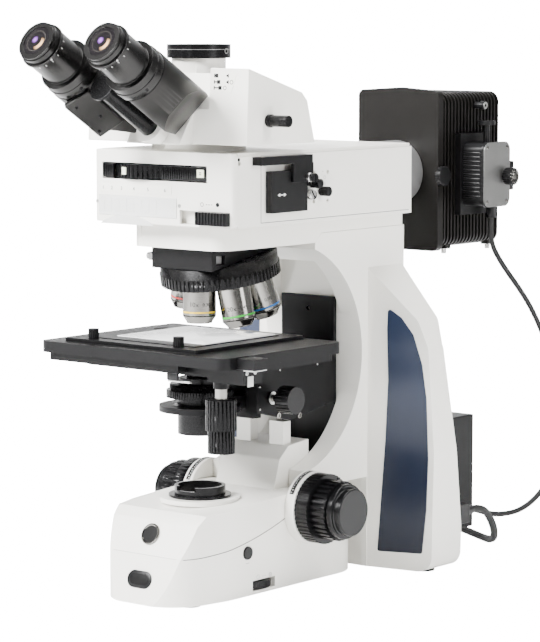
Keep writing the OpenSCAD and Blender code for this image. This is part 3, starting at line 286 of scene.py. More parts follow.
def carried(node, finish, width, least, shortest):
    """width, in mm, of the bevel between faces over least mm2, along edges over shortest mm."""
    mesh = frame["nodes"][node].data.copy()
    mesh.transform(frame["nodes"][node].matrix_world)
    piece = bpy.data.objects.new(node + "_skin", mesh)
    bpy.context.scene.collection.objects.link(piece)
    work = bmesh.new()
    work.from_mesh(mesh)
    bmesh.ops.remove_doubles(work, verts=work.verts, dist=2e-6)
    if width:
        bmesh.ops.dissolve_limit(work, angle_limit=math.radians(0.8), verts=work.verts, edges=work.edges)
        chosen = []
        for edge in work.edges:
            if len(edge.link_faces) != 2 or not edge.is_manifold:
                continue
            if edge.calc_face_angle(0) < math.radians(bevel_from) or edge.calc_length() < shortest * mm:
                continue
            if min(f.calc_area() for f in edge.link_faces) < least * 1e-6:
                continue
            chosen.append(edge)
        bmesh.ops.bevel(work, geom=chosen, offset=width * mm, segments=3, profile=0.5,
                        affect="EDGES", clamp_overlap=True)
    work.to_mesh(mesh)
    work.free()
    mesh.materials.clear()
    mesh.materials.append(finish.material)
    shade(mesh, 30)
    if width and node not in streaky:
        even_normals(piece)
    body = body_of(frame["nodes"][node])
    body = body[0] if isinstance(body, (list, tuple)) else body
    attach(piece, body)
    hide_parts(node)
    return piece


print("carried() is ready")

# %% [markdown]
# This table says which paint, metal or plastic each node wears, and how wide its rounded edges are. The
# two numbers after the width keep the bevel off small faces and short edges, such as the rims of holes.

# %% Finish of each node
skins = {
    "base_pan": (white_enamel, 2.0, 60, 6), "base_cover": (white_enamel, 3.0, 60, 6),
    "rubber_feet": (matt_rubber, 0.4, 0, 0), "stand_lenses": (clear_glass, 0, 0, 0),
    "column_shell": (white_enamel, 2.4, 12, 2), "side_inlays": (navy_film, 0.3, 20, 0),
    "guard_plate": (black_enamel, 0.6, 60, 3), "rear_lamp_box": (black_enamel, 1.2, 120, 6),
    "limb": (white_enamel, 1.5, 100, 4), "illuminator_housing": (white_enamel, 2.0, 200, 8),
    "turret_front_cover": (white_enamel, 1.0, 60, 4), "head_housing": (white_enamel, 4.0, 200, 8),
    "camera_clamp_ring": (anodised, 0.6, 0, 0), "hinge_shaft": (anodised, 0.6, 0, 0),
    "nosepiece_mount": (black_enamel, 1.0, 30, 4), "polariser_plate": (black_enamel, 0.5, 8, 1),
    "centring_knob": (anodised, 0, 0, 0), "focus_collars": (white_enamel, 0.8, 0, 0),
    "lamp_front_cover": (lamp_black, 1.0, 40, 4), "lamp_body": (lamp_black, 0.35, 8, 2),
    "lamp_holder": (black_plastic, 1.0, 30, 3), "field_diaphragm_ring": (anodised, 0.3, 0, 0),
    "filter_wheel": (anodised, 0, 0, 0), "shutter_slider": (black_plastic, 0.4, 4, 1),
    "light_path_rod": (anodised, 0.5, 0, 0), "right_arm": (graphite, 0.7, 20, 0),
    "left_arm": (graphite, 0.7, 20, 0), "right_eyepiece": (anodised_lean, 0.4, 0, 0),
    "left_eyepiece": (anodised_lean, 0.4, 0, 0), "right_dioptre_ring": (anodised_lean, 0.5, 0, 0),
    "left_dioptre_ring": (anodised_lean, 0.5, 0, 0), "nosepiece_turret": (anodised, 0, 0, 0),
    "objective_red": (satin_chrome, 0.4, 0, 0), "objective_yellow": (satin_chrome, 0.4, 0, 0),
    "objective_green": (satin_chrome, 0.4, 0, 0), "objective_blue": (satin_chrome, 0.4, 0, 0),
    "prism_slider": (grey_anodised, 0.4, 4, 1), "analyser_slider": (black_plastic, 0.5, 10, 2),
    "stop_knob": (anodised, 0, 0, 0), "stage_carrier": (black_enamel, 0.8, 60, 4),
    "stage_y_plate": (black_enamel, 0.8, 40, 4), "stage_x_plate": (black_enamel, 1.0, 60, 4),
    "stage_insert": (black_enamel, 0.3, 10, 2), "stage_y_knob": (anodised, 0, 0, 0),
    "stage_x_knob": (anodised, 0, 0, 0), "condenser_carrier": (black_enamel, 0.8, 20, 3),
    "condenser_body": (anodised, 0.4, 0, 0), "condenser_aperture_ring": (anodised, 0, 0, 0),
    "condenser_knob": (knob_plastic, 0, 0, 0), "coarse_knobs": (knob_plastic, 0, 0, 0),
    "fine_knobs": (knob_plastic, 1.2, 0, 0), "tension_ring": (knob_plastic, 0, 0, 0),
    "power_button": (black_plastic, 0.5, 0, 0), "brightness_wheel": (black_plastic, 0, 0, 0),
    "collector_knob": (black_plastic, 0, 0, 0), "bulb_knob": (black_plastic, 0, 0, 0),
    "cord_plugs": (black_plastic, 0.8, 0, 0),
}
for node, (finish, width, least, shortest) in skins.items():
    carried(node, finish, width, least, shortest)
print("carried over", len(skins), "nodes")

# %% [markdown]
# Two cords are free. The lamp's lead leaves the bulb holder downwards, swings out behind the object in
# a slack loop and comes back into a socket in the wing. The mains cord leaves the other socket, falls
# to the table behind the lamp box, and its spare length is wound into a coil with the wall plug inside.

# %% Cords
def smooth(points, steps):
    path = []
    line = [Vector(p) for p in points]
    for i in range(len(line) - 1):
        a, b, c, d = line[max(i - 1, 0)], line[i], line[i + 1], line[min(i + 2, len(line) - 1)]
        for k in range(steps):
            t = k / steps
            path.append(0.5 * (2 * b + (c - a) * t + (2 * a - 5 * b + 4 * c - d) * t * t
                               + (3 * b - a - 3 * c + d) * t * t * t))
    path.append(line[-1])
    return path


def run_of(path):
    return sum((path[i + 1] - path[i]).length for i in range(len(path) - 1))


def lead(name, path, diameter, finish):
    curve = bpy.data.curves.new(name, "CURVE")
    curve.dimensions = "3D"
    curve.bevel_depth = diameter / 2
    curve.bevel_resolution = 3
    curve.use_fill_caps = True
    spline = curve.splines.new("POLY")
    spline.points.add(len(path) - 1)
    for point, place in zip(spline.points, path):
        point.co = (*place, 1)
    curve.materials.append(finish.material)
    piece = bpy.data.objects.new(name, curve)
    bpy.context.scene.collection.objects.link(piece)
    return piece


print("a lead is a curve with a round bevel")

# %% [markdown]
# The paths are written as points in mm and smoothed. The coil's lanes lie side by side on the table, with
# a second layer on top, and the last turn stops where the cord reaches its real length.

# %% Cord paths
mains_points = [(101, 262, 47), (101, 273, 46), (100, 284, 42), (98, 294, 35), (95, 304, 26), (90, 314, 17),
                (82, 324, 9), (71, 333, 5), (59, 341, 4), (45, 349, 4), (31, 357, 4), (17, 365, 4),
                (3, 373, 4), (-11, 382, 4), (-25, 390, 4), (-37, 397, 4)]
lamp_points = [(60, 347, 306), (60, 347, 293), (61, 350, 279), (64, 357, 266), (67, 367, 253), (71, 379, 238),
               (75, 392, 220), (79, 404, 198), (83, 414, 172), (87, 420, 144), (90, 421, 116), (92, 416, 90),
               (93, 406, 67), (93, 391, 49), (92, 373, 38), (90, 354, 32), (88, 335, 31), (86, 317, 33),
               (84, 299, 38), (83, 284, 43), (83, 272, 46), (83, 262, 47)]
coil_centre = Vector((-84, 372, 0))
mains_length, mains_thick, lamp_thick = 1.8, 0.007, 0.005
coil_start, turn_steps = 60, 24


def ease(x):
    x = min(1.0, max(0.0, x))
    return x * x * (3 - 2 * x)


def coil_point(turn):
    lanes = [45, 38, 31, 31, 38, 45, 45]
    lane = int(turn)
    if lane >= 6:
        radius = 45 - 5 * ease((turn - 6) / 0.4)
    else:
        radius = lanes[lane] + (lanes[lane + 1] - lanes[lane]) * ease((turn - lane - 0.5) / 0.5)
    height = 11.2 + 13.1 * ease((turn - 5.75) / 0.62) if turn > 5.75 else 4 + 7.2 * ease((turn - 2.6) / 0.8)
    angle = math.radians(coil_start + turn * 360)
    return coil_centre + Vector((math.cos(angle) * radius, math.sin(angle) * radius, height))


mains_path = [p * mm for p in smooth(mains_points, 3)]
turns = 0.0
while run_of(mains_path) < mains_length:
    mains_path.append(coil_point(turns) * mm)
    turns += 1 / turn_steps
spare = run_of(mains_path) - mains_length
mains_path[-1] += (mains_path[-2] - mains_path[-1]).normalized() * spare
lamp_path = [p * mm for p in smooth(lamp_points, 4)]
mains_cord = lead("mains_cord_run", mains_path, mains_thick, cord_jacket)
lamp_cord = lead("lamp_cord_run", lamp_path, lamp_thick, cord_jacket)
for cord in (mains_cord, lamp_cord):
    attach(cord, "stand")
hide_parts("mains_cord", "mains_coil")
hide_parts("lamp_cord")
print("lamp lead", round(run_of(lamp_path), 3), "m; mains cord", round(run_of(mains_path), 3), "m,",
      round(turns, 2), "turns")

# %% [markdown]
# Small parts are built by a few helpers. The first two turn a bmesh drawn in mm into a mesh in metres,
# and settle a finished mesh on its body with its material.

# %% Settling a piece
def settle(name, mesh, finish, body, angle=32):
    mesh.materials.clear()
    for one in (finish if isinstance(finish, (list, tuple)) else [finish]):
        mesh.materials.append(one.material)
    shade(mesh, angle)
    piece = bpy.data.objects.new(name, mesh)
    bpy.context.scene.collection.objects.link(piece)
    if body:
        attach(piece, body)
    return piece


def from_work(name, work, place=None):
    bmesh.ops.recalc_face_normals(work, faces=work.faces)
    mesh = bpy.data.meshes.new(name)
    work.to_mesh(mesh)
    work.free()
    mesh.transform(Matrix.Scale(mm, 4))
    if place:
        mesh.transform(place)
    return mesh


print("pieces are drawn in mm")

# %% [markdown]
# Round parts come off a lathe: a profile of radius and height is swung round the Z axis. A profile that
# starts and ends at radius 0 closes into a solid, and a closed one makes a sleeve or a ring.

# %% Lathe
def turned_mesh(name, profile, place=None, steps=72, closed=False):
    work = bmesh.new()
    rings = []
    for radius, height in profile:
        if radius < 1e-6:
            rings.append([work.verts.new((0, 0, height))])
        else:
            rings.append([work.verts.new((radius * math.cos(2 * math.pi * k / steps),
                                          radius * math.sin(2 * math.pi * k / steps), height))
                          for k in range(steps)])
    pairs = list(zip(rings, rings[1:])) + ([(rings[-1], rings[0])] if closed else [])
    for low, high in pairs:
        for k in range(steps):
            j = (k + 1) % steps
            corners = [low[k % len(low)], low[j % len(low)], high[j % len(high)], high[k % len(high)]]
            corners = list(dict.fromkeys(corners))
            if len(corners) > 2:
                work.faces.new(corners)
    return from_work(name, work, place)


def turned(name, profile, place, finish, body, steps=72, closed=False):
    return settle(name, turned_mesh(name, profile, place, steps, closed), finish, body)


print("lathe ready")

# %% [markdown]
# Flat parts are an outline given a thickness, and boxes are a cube with its edges rounded, since no moulded
# or milled edge is quite sharp.

# %% Plates and blocks
def plate_mesh(name, outline, thick, place=None, edge=0.0):
    work = bmesh.new()
    base = [work.verts.new((x, y, 0)) for x, y in outline]
    face = work.faces.new(base)
    grown = bmesh.ops.extrude_face_region(work, geom=[face])
    bmesh.ops.translate(work, vec=(0, 0, thick),
                        verts=[v for v in grown["geom"] if isinstance(v, bmesh.types.BMVert)])
    if edge:
        rim = [e for e in work.edges if all(v.co.z > thick / 2 for v in e.verts)]
        bmesh.ops.bevel(work, geom=rim, offset=edge, segments=2, profile=0.5, affect="EDGES")
    return from_work(name, work, place)


def block_mesh(name, size, place=None, edge=0.5, steps=2):
    work = bmesh.new()
    bmesh.ops.create_cube(work, size=1)
    bmesh.ops.scale(work, vec=size, verts=work.verts)
    if edge:
        bmesh.ops.bevel(work, geom=list(work.edges), offset=edge, segments=steps, profile=0.5, affect="EDGES")
    return from_work(name, work, place)


def block(name, size, place, edge, *rest, slot):
    """A rounded block settled on its body. rest is: steps for the rounding if given, finish, body."""
    steps = rest[0] if len(rest) == 3 else 2
    return settle(name, block_mesh(name, size, place, edge, steps), rest[-2], rest[-1])


def rounded(width, height, radius, steps=6):
    points = []
    for cx, cy, start in ((width / 2 - radius, height / 2 - radius, 0),
                          (-width / 2 + radius, height / 2 - radius, 90),
                          (-width / 2 + radius, -height / 2 + radius, 180),
                          (width / 2 - radius, -height / 2 + radius, 270)):
        for k in range(steps + 1):
            a = math.radians(start + 90 * k / steps)
            points.append((cx + radius * math.cos(a), cy + radius * math.sin(a)))
    return points


def at(x, y, z, turn=None):
    move = Matrix.Translation(Vector((x, y, z)) * mm)
    return move @ turn.to_matrix().to_4x4() if turn is not None else move


print("plates and blocks ready")

# %% [markdown]
# Screws, ticks and flutes repeat, so Geometry Nodes sets one small mesh at many places. The places are the
# points of a mesh, and each carries its own turn as an attribute.

# %% Strewing with Geometry Nodes
def strewn(name, tool_mesh, places, finish, body):
    """Sets tool_mesh at every place, a pair of a point in mm and a turn, with Geometry Nodes."""
    tool = bpy.data.objects.new(name + "_tool", tool_mesh)
    points = bpy.data.meshes.new(name + "_places")
    points.from_pydata([tuple(Vector(p) * mm) for p, _ in places], [], [])
    points.attributes.new("turn", "FLOAT_VECTOR", "POINT").data.foreach_set(
        "vector", [c for _, turn in places for c in turn])
    holder = bpy.data.objects.new(name + "_holder", points)
    bpy.context.scene.collection.objects.link(holder)
    tree = bpy.data.node_groups.new(name + "_tree", "GeometryNodeTree")
    tree.interface.new_socket("Geometry", in_out="INPUT", socket_type="NodeSocketGeometry")
    size_input = tree.interface.new_socket("Size", in_out="INPUT", socket_type="NodeSocketFloat")
    size_input.default_value = 1.0
    tree.interface.new_socket("Geometry", in_out="OUTPUT", socket_type="NodeSocketGeometry")
    entry, leave = tree.nodes.new("NodeGroupInput"), tree.nodes.new("NodeGroupOutput")
    info = tree.nodes.new("GeometryNodeObjectInfo")
    info.inputs["Object"].default_value = tool
    named = tree.nodes.new("GeometryNodeInputNamedAttribute")
    named.data_type = "FLOAT_VECTOR"
    named.inputs["Name"].default_value = "turn"
    spin = tree.nodes.new("FunctionNodeEulerToRotation")
    scatter = tree.nodes.new("GeometryNodeInstanceOnPoints")
    whole = tree.nodes.new("GeometryNodeRealizeInstances")
    paint = tree.nodes.new("GeometryNodeSetMaterial")
    paint.inputs["Material"].default_value = finish.material
    link = tree.links.new
    link(entry.outputs["Geometry"], scatter.inputs["Points"])
    link(info.outputs["Geometry"], scatter.inputs["Instance"])
    link(named.outputs["Attribute"], spin.inputs[0])
    link(spin.outputs[0], scatter.inputs["Rotation"])
    link(entry.outputs["Size"], scatter.inputs["Scale"])
    link(scatter.outputs[0], whole.inputs[0])
    link(whole.outputs[0], paint.inputs["Geometry"])
    link(paint.outputs[0], leave.inputs[0])
    modifier = holder.modifiers.new("strew", "NODES")
    modifier.node_group = tree
    modifier[size_input.identifier] = 1.0
    graph = bpy.context.evaluated_depsgraph_get()
    mesh = bpy.data.meshes.new_from_object(holder.evaluated_get(graph))
    holder.modifiers.clear()
    bpy.data.objects.remove(holder)
    bpy.data.objects.remove(tool)
    return settle(name, mesh, finish, body)


print("strewn() is ready")

# %% [markdown]
# The cap screw has a chamfer and a sunk hexagon. The head's tubes and the nosepiece are tilted, so each has
# a frame of its own, and their small parts are placed in it.

# %% Cap screw and tilted frames
def hex_socket_mesh(name, radius, height, socket):
    """A cap screw: a short cylinder with a chamfer and a sunk hexagon."""
    work = bmesh.new()
    steps = 24
    def ring(r, z, corners=0):
        out = []
        for k in range(steps):
            a = 2 * math.pi * k / steps
            reach = r * (math.cos(math.pi / 6) / math.cos((a % (math.pi / 3)) - math.pi / 6) if corners else 1)
            out.append(work.verts.new((reach * math.cos(a), reach * math.sin(a), z)))
        return out
    rings = [ring(radius, 0), ring(radius, height - 0.3), ring(radius - 0.3, height), ring(socket, height, 1),
             ring(socket, height * 0.35, 1)]
    for low, high in zip(rings, rings[1:]):
        for k in range(steps):
            j = (k + 1) % steps
            work.faces.new([low[k], low[j], high[j], high[k]])
    work.faces.new(rings[0])
    work.faces.new(rings[-1])
    return from_work(name, work)


nose_tilt = 10.7
view_place = Matrix.Translation((0, -0.063, 0.4024)) @ Matrix.Rotation(math.radians(90 - tube_rise), 4, "X")
nose_place = Matrix.Translation((0, 0.0283, 0.271)) @ Matrix.Rotation(math.radians(nose_tilt), 4, "X")
print("eyepieces rise", tube_rise, "degrees; the nosepiece leans", nose_tilt)

# %% [markdown]
# The wall plug at the mains cord's end is a moulded block with a waist where fingers grip it and two
# flat brass blades. It lies on top of the coil, in line with the cord.

# %% Wall plug
plug_angle = math.radians(251)
plug_spot = coil_centre + Vector((40 * math.cos(plug_angle), 40 * math.sin(plug_angle), 15.3))
plug_frame = Matrix.Translation(plug_spot * mm) @ Matrix.Rotation(plug_angle + math.pi / 2, 4, "Z")


def plug_section(x, half_wide, low, high, work):
    ring = []
    for k in range(20):
        a = 2 * math.pi * k / 20
        c, n = math.cos(a), math.sin(a)
        wide, tall = math.copysign(abs(c) ** 0.55, c), math.copysign(abs(n) ** 0.55, n)
        ring.append(work.verts.new((x, half_wide * wide, (low + high) / 2 + (high - low) / 2 * tall)))
    return ring


work = bmesh.new()
sections = (
    (-23, 4.3, 4.6, 13.4), (-22.4, 4.8, 4.2, 13.8), (-17.5, 5.2, 4, 14), (-16, 8.6, 1.6, 16.4),
    (-13, 10.2, 0.6, 17.4), (-6, 10.2, 0.4, 17.6), (0, 9.4, 1.2, 16.8), (6, 10.4, 0.4, 17.6),
    (14, 11.8, 0, 18), (16.2, 11.8, 0, 18), (17, 11, 0.7, 17.3))
rings = [plug_section(x, w, lo, hi, work) for x, w, lo, hi in sections]
for low, high in zip(rings, rings[1:]):
    for k in range(20):
        work.faces.new([low[k], low[(k + 1) % 20], high[(k + 1) % 20], high[k]])
work.faces.new(rings[0])
work.faces.new(rings[-1])
wall_plug = settle("wall_plug_body", from_work("wall_plug_body", work, plug_frame), black_plastic, "stand")
blades = [block_mesh("blade", (19, 1.6, 3.6), plug_frame @ at(26.4, y, 9), 0.4) for y in (-6, 6)]
blade_pair = bmesh.new()
for mesh in blades:
    blade_pair.from_mesh(mesh)
blade_mesh = bpy.data.meshes.new("plug_blades")
blade_pair.to_mesh(blade_mesh)
blade_pair.free()
plug_blades = settle("plug_blades", blade_mesh, satin_steel, "stand")
run_of(lamp_path)

# %% [markdown]
# The eye lenses carry a painted reflection and a painted highlight in their colour: a violet patch where
# the coating would mirror the sky, and a warm crescent where the lamp's light would come back through.
# Both stay on the lens, so they are masks by distance from a point on it, and a dark rim closes them
# off. Each lens is a shallow turned dome in the mouth of its ring.

# %% Eye lenses
tube_x, tube_y = 36, 12.166


def eye_lens(name, centre):
    def distance_from(point):
        return f.node("ShaderNodeVectorMath", {"operation": "DISTANCE"}, out="Value", i0=f.place, i1=tuple(point))

    core = view_place @ (Vector(centre) * mm)
    # the points of the painted reflection and of the painted warm highlight on the lens
    glow = view_place @ ((Vector(centre) + Vector((-1.6, 1.0, 0))) * mm)
    warm = view_place @ ((Vector(centre) + Vector((5.6, -3.4, 0))) * mm)
    f = Finish(name, Coat_Weight=1.0, Coat_Roughness=0.02, Specular_IOR_Level=0.8)
    from_reflection_spot = distance_from(glow)
    from_glint_spot = distance_from(warm)
    from_core = distance_from(core)
    off_centre = from_core * 1000
    # painted reflection and painted highlight: a violet patch and a warm crescent mixed into the base colour
    painted_violet_reflection = (1 - from_reflection_spot * 300).at_least(0)
    painted_warm_glint = (off_centre > 5.4) * (off_centre < 8.4) * (1.5 - from_glint_spot * 230).at_least(0)
    base = f.tint(painted_violet_reflection, (0.006, 0.005, 0.006), (0.36, 0.12, 0.66))
    base = f.tint(painted_warm_glint, base, f.tint(f.noise(200), (0.55, 0.30, 0.13), (0.8, 0.5, 0.26)))
    rim = (off_centre > 8.9) * (off_centre < 9.5)
    f.feed("Base Color", f.tint(rim, base, f.tint(f.noise(300), (0.03, 0.028, 0.026), (0.05, 0.046, 0.04))))
    f.feed("Roughness", 0.04 + 0.03 * f.noise(80))
    return f


for side, body in ((1, "right_dioptre"), (-1, "left_dioptre")):
    centre = (side * tube_x, tube_y, 119.2)
    name = body.split("_")[0] + "_eye_lens"
    turned(name, [(13.0, -0.1), (12.8, 0.25), (9, 0.55), (4, 0.75), (0, 0.8)], view_place @ at(*centre),
           eye_lens(name, centre), body)
print("eye lenses: 26 mm across")

# %% [markdown]
# Round the eyepiece, short white ticks and a dot let the user note the dioptre setting. They are one
# small block set along an arc by Geometry Nodes, each turned to stand on the tube.

# %% Dioptre scale
def around(axis, radius, degrees, height, frame_place=view_place):
    a = math.radians(degrees)
    spot = frame_place @ (Vector((axis[0] + radius * math.cos(a), axis[1] + radius * math.sin(a), height)) * mm)
    turn = (frame_place.to_3x3() @ Matrix.Rotation(a, 3, "Z")).to_euler()
    return spot / mm, turn


for side, body in ((1, "right_tube"), (-1, "left_tube")):
    axis = (side * tube_x, tube_y)
    marks = [around(axis, 18.86, d, 108.0) for d in range(-100, 40, 20)]
    strewn(body + "_dioptre_ticks", block_mesh("tick", (0.2, 0.3, 1.7), None, 0), marks, print_white, body)
    dot = around(axis, 20.0, -38, 111.3)
    strewn(body + "_index_dot", turned_mesh("dot", [(0.75, 0), (0.7, 0.2), (0, 0.25)],
           Matrix.Rotation(math.pi / 2, 4, "Y"), 16), [dot], print_white, body)
    screws = [around(axis, 24.05, d, 71) for d in (-42, 78, 198)]
    strewn(body + "_collar_screws", hex_socket_mesh("screw", 1.5, 0.5, 0.8), [(p, (t.to_matrix() @
           Matrix.Rotation(math.pi / 2, 3, "Y")).to_euler()) for p, t in screws], anodised, body)
print("dioptre ticks:", len(marks), "on each eyepiece")

# %% [markdown]
# The left tube carries a flat graphite cover on its lower side, held by two screws, with the knuckle's
# screw near its upper end. It is a softly rounded slab laid against the round tube.

# %% Cover on the left tube
def on_tube(axis, degrees, radius, offset, height):
    a = math.radians(degrees)
    centre = Vector((axis[0] + radius * math.cos(a) - offset * math.sin(a),
                     axis[1] + radius * math.sin(a) + offset * math.cos(a), height))
    return view_place @ Matrix.Translation(centre * mm) @ Matrix.Rotation(a, 4, "Z")


left_axis, cover_side = (-tube_x, tube_y), -50
block("left_tube_cover", (6, 25, 50), on_tube(left_axis, cover_side, 22.6, -6.5, 40), 1.6, 3,
       graphite, "left_tube", slot="dark_metal")
cover_screws = []
for offset, height in ((-12, 58), (-4, 35), (-15, 22)):
    spot = on_tube(left_axis, cover_side, 25.6, offset, height) @ Matrix.Rotation(math.pi / 2, 4, "Y")
    cover_screws.append((spot.translation / mm, spot.to_euler()))
strewn("left_tube_screws", hex_socket_mesh("screw", 1.5, 0.5, 0.8), cover_screws, anodised, "left_tube")
print("left tube cover fixed with", len(cover_screws), "screws")

# %% [markdown]
# Small marks are printed, so they stand only a tenth or two of a millimetre proud. A printed number is a
# text curve turned to a mesh; a printed ring or arrow is a thin plate. The front face looks along -Y.

# %% Marks on the head and the front cover
def facing_user(x, y, z, lean_deg=0.0):
    return Matrix.Translation(Vector((x, y, z)) * mm) @ Matrix.Rotation(math.radians(90 - lean_deg), 4, "X")


def facing_side(x, y, z):
    return Matrix.Translation(Vector((x, y, z)) * mm) @ Matrix.Rotation(math.pi / 2, 4, "Z") @ \
        Matrix.Rotation(math.pi / 2, 4, "X")


def joined(name, meshes, finish, body):
    work = bmesh.new()
    for mesh in meshes:
        work.from_mesh(mesh)
    whole = bpy.data.meshes.new(name)
    work.to_mesh(whole)
    work.free()
    return settle(name, whole, finish, body)


def number_mesh(word, size, place):
    curve = bpy.data.curves.new("figure", "FONT")
    curve.body, curve.size, curve.extrude = word, size * mm, 0.05 * mm
    curve.align_x, curve.align_y = "CENTER", "CENTER"
    holder = bpy.data.objects.new("figure", curve)
    bpy.context.scene.collection.objects.link(holder)
    mesh = bpy.data.meshes.new_from_object(holder.evaluated_get(bpy.context.evaluated_depsgraph_get()))
    bpy.data.objects.remove(holder)
    mesh.transform(place)
    return mesh


def ring_mesh(radius, wall, place, thick=0.1):
    return turned_mesh("ring", [(radius - wall, 0), (radius - wall, thick), (radius, thick), (radius, 0)], place,
                       32, True)


def spot_mesh(radius, place, thick=0.1):
    return turned_mesh("spot", [(0, 0), (radius, 0), (radius, thick), (0, thick)], place, 24)


def bar_mesh(w, h, place, thick=0.1):
    return block_mesh("bar", (w, h, thick), place @ at(0, 0, thick / 2), 0)


def arrow_mesh(w, h, place, thick=0.1):
    return plate_mesh("arrow", [(0, -h / 2), (w, 0), (0, h / 2)], thick, place)


panel = facing_user(0, -40.62, 441, 2.9)
print_cream = sprayed("panel_cream", (0.80, 0.79, 0.72), (0.84, 0.83, 0.77), 0.4, 0.05)
joined("icon_panel", [plate_mesh("panel", [(50, 9.6), (76.4, 6.8), (70.6, -9.0), (48.6, -8.2)], 0.15, panel)],
       print_cream, "stand")
icons = []
for row, (y, rod) in enumerate(((4.6, 0.8), (-0.6, 3.0), (-5.4, 4.6))):
    left = 52.2 + rod
    icons += [bar_mesh(rod, 1.0, panel @ at(left - rod / 2, y, 0.15)),
              bar_mesh(1.0, 3.0, panel @ at(left - rod, y, 0.15)),
              bar_mesh(3.4, 3.2, panel @ at(left + 1.6, y, 0.15))]
    if row < 2:
        icons.append(arrow_mesh(-3.2, 3.4, panel @ at(67.6, y, 0.15)))
    if row > 0:
        icons.append(ring_mesh(1.8, 0.5, panel @ at(63.6 + 7 * (2 - row), y, 0.15)))
joined("beam_icons", icons, print_black, "stand")

cover = facing_user(0, -47.05, 0)
figure_x = (-67, -57, -46, -32, -16, 3)
figures = [number_mesh(str(i + 1), 4.2, cover @ at(x, 349, 0.35)) for i, x in enumerate(figure_x)]
joined("scale_strip", [plate_mesh("strip", [(-70, 345.4), (10, 345.4), (10, 353.4), (-70, 353.4)], 0.3, cover,
                                  0.1)],
       print_cream, "stand")
joined("scale_numbers", figures, print_black, "stand")
joined("shutter_marks", [ring_mesh(1.8, 0.4, cover @ at(43.7, 339.2, 0)),
                         bar_mesh(1.2, 0.6, cover @ at(48.6, 339.3, 0)),
                         bar_mesh(1.2, 0.6, cover @ at(51.4, 339.3, 0)),
                         bar_mesh(1.2, 0.6, cover @ at(54.2, 339.4, 0)),
                         spot_mesh(1.9, cover @ at(60.6, 339.6, 0))], print_black, "stand")
print("icons:", len(icons), "plates; figures 1 to 6")

# %% [markdown]
# Under the scale a clear shield covers a fluted white roller, above a scooped rest for the finger. The
# shield is a glossy slab, the flutes are bars set side by side, and the scoop is a half-moon plate in
# the shield's paler grey, darker than the white enamel round it, as painted shade in the hollow.

# %% Shield and scoop
shield_finish = sprayed("shield_pale", (0.60, 0.605, 0.59), (0.66, 0.665, 0.65), 0.14, 0.02, 300, 0.6)
block("front_shield", (88, 0.9, 17), at(-28, -47.3, 334.6), 0.4, 2, shield_finish, "stand", slot="white_paint")
flutes = [((-68 + 8.5 * i, -47.8, 334.8), (0, 0, 0)) for i in range(8)]
strewn("shield_flutes", block_mesh("flute", (5.6, 0.3, 12), None, 0.12, 1), flutes, shield_finish, "stand")
moon = [(-70 + 60 * t / 20, 318.6 + 8.4 * math.sin(math.pi * t / 20) ** 0.7) for t in range(21)]
# painted shade: a grey half-moon plate stands for the shade in the finger's scoop
settle("finger_scoop", plate_mesh("scoop", moon, 0.6, facing_user(0, -47, 0), 0.25), shield_finish, "stand")
strewn("shield_screws", hex_socket_mesh("screw", 1.6, 0.8, 0.8),
       [((-74.2, -46.6, 337), (math.pi / 2, 0, 0)), ((18.8, -47, 337), (math.pi / 2, 0, 0))], satin_steel,
       "stand")
print("shield 88 mm wide, flutes", len(flutes))

# %% [markdown]
# The filter wheel's grip fills the whole window in the real front. Beside the wheel, fixed strips with
# the same flutes carry its look to the window's ends, and cream tabs mark the filter in use.

# %% Window strips and tabs
for name, x0, x1 in (("window_strip_right", -0.5, 48.4), ("window_strip_left", -67.4, -55.6)):
    block(name, (x1 - x0, 2.4, 11.6), at((x0 + x1) / 2, -45.9, 364), 0.4, 2, anodised, "stand",
          slot="black_plastic")
rib_x = [-66.2 + 2.5 * i for i in range(4)] + [1 + 2.5 * i for i in range(14)]
ribs = [((x, -47.2, 364), (0, 0, 0)) for x in rib_x]
strewn("window_flutes", block_mesh("flute", (1.3, 1.0, 10.8), None, 0.4, 2), ribs, anodised, "stand")
block("window_tab", (7.6, 0.8, 6.6), at(42.6, -47.6, 364.6), 0.3, 2, label_glow, "stand", slot="white_paint")
joined("window_tab_mark", [bar_mesh(2.6, 0.5, facing_user(42.6, -48.0, 365.6)),
                           bar_mesh(2.6, 0.5, facing_user(42.6, -48.0, 363.8)),
                           ring_mesh(0.9, 0.3, facing_user(42.6, -48.0, 364.7))], print_black, "stand")
wheel_x, wheel_y, tab_reach = -28, -5, 47.0
tabs = []
for k in range(6):
    a = math.radians(-105 + 60 * k)
    tabs.append(((wheel_x + tab_reach * math.cos(a), wheel_y + tab_reach * math.sin(a), 364.2), (0, 0, a)))
strewn("wheel_tabs", block_mesh("wheel_tab", (0.9, 6.2, 6.2), None, 0.25, 2), tabs, label_glow, "filter_turret")
print("tabs on the wheel:", len(tabs))

# %% [markdown]
# The side of the illuminator is one flat panel let into the casting. A fine dark line shows round it,
# and beside the sliders sit slotted clamping screws, a white double arrow and small printed signs.

# %% Side panel and clamps
panel_x = 77.02
block("panel_line", (0.12, 0.5, 56), at(panel_x, -10.7, 351), 0, print_black, "stand", slot="black_paint")
block("panel_line_low", (0.12, 206, 0.45), at(panel_x, 92.3, 323.2), 0, print_black, "stand", slot="black_paint")
block("panel_line_top", (0.12, 206, 0.35), at(panel_x, 92.3, 379.2), 0, print_grey, "stand", slot="black_paint")
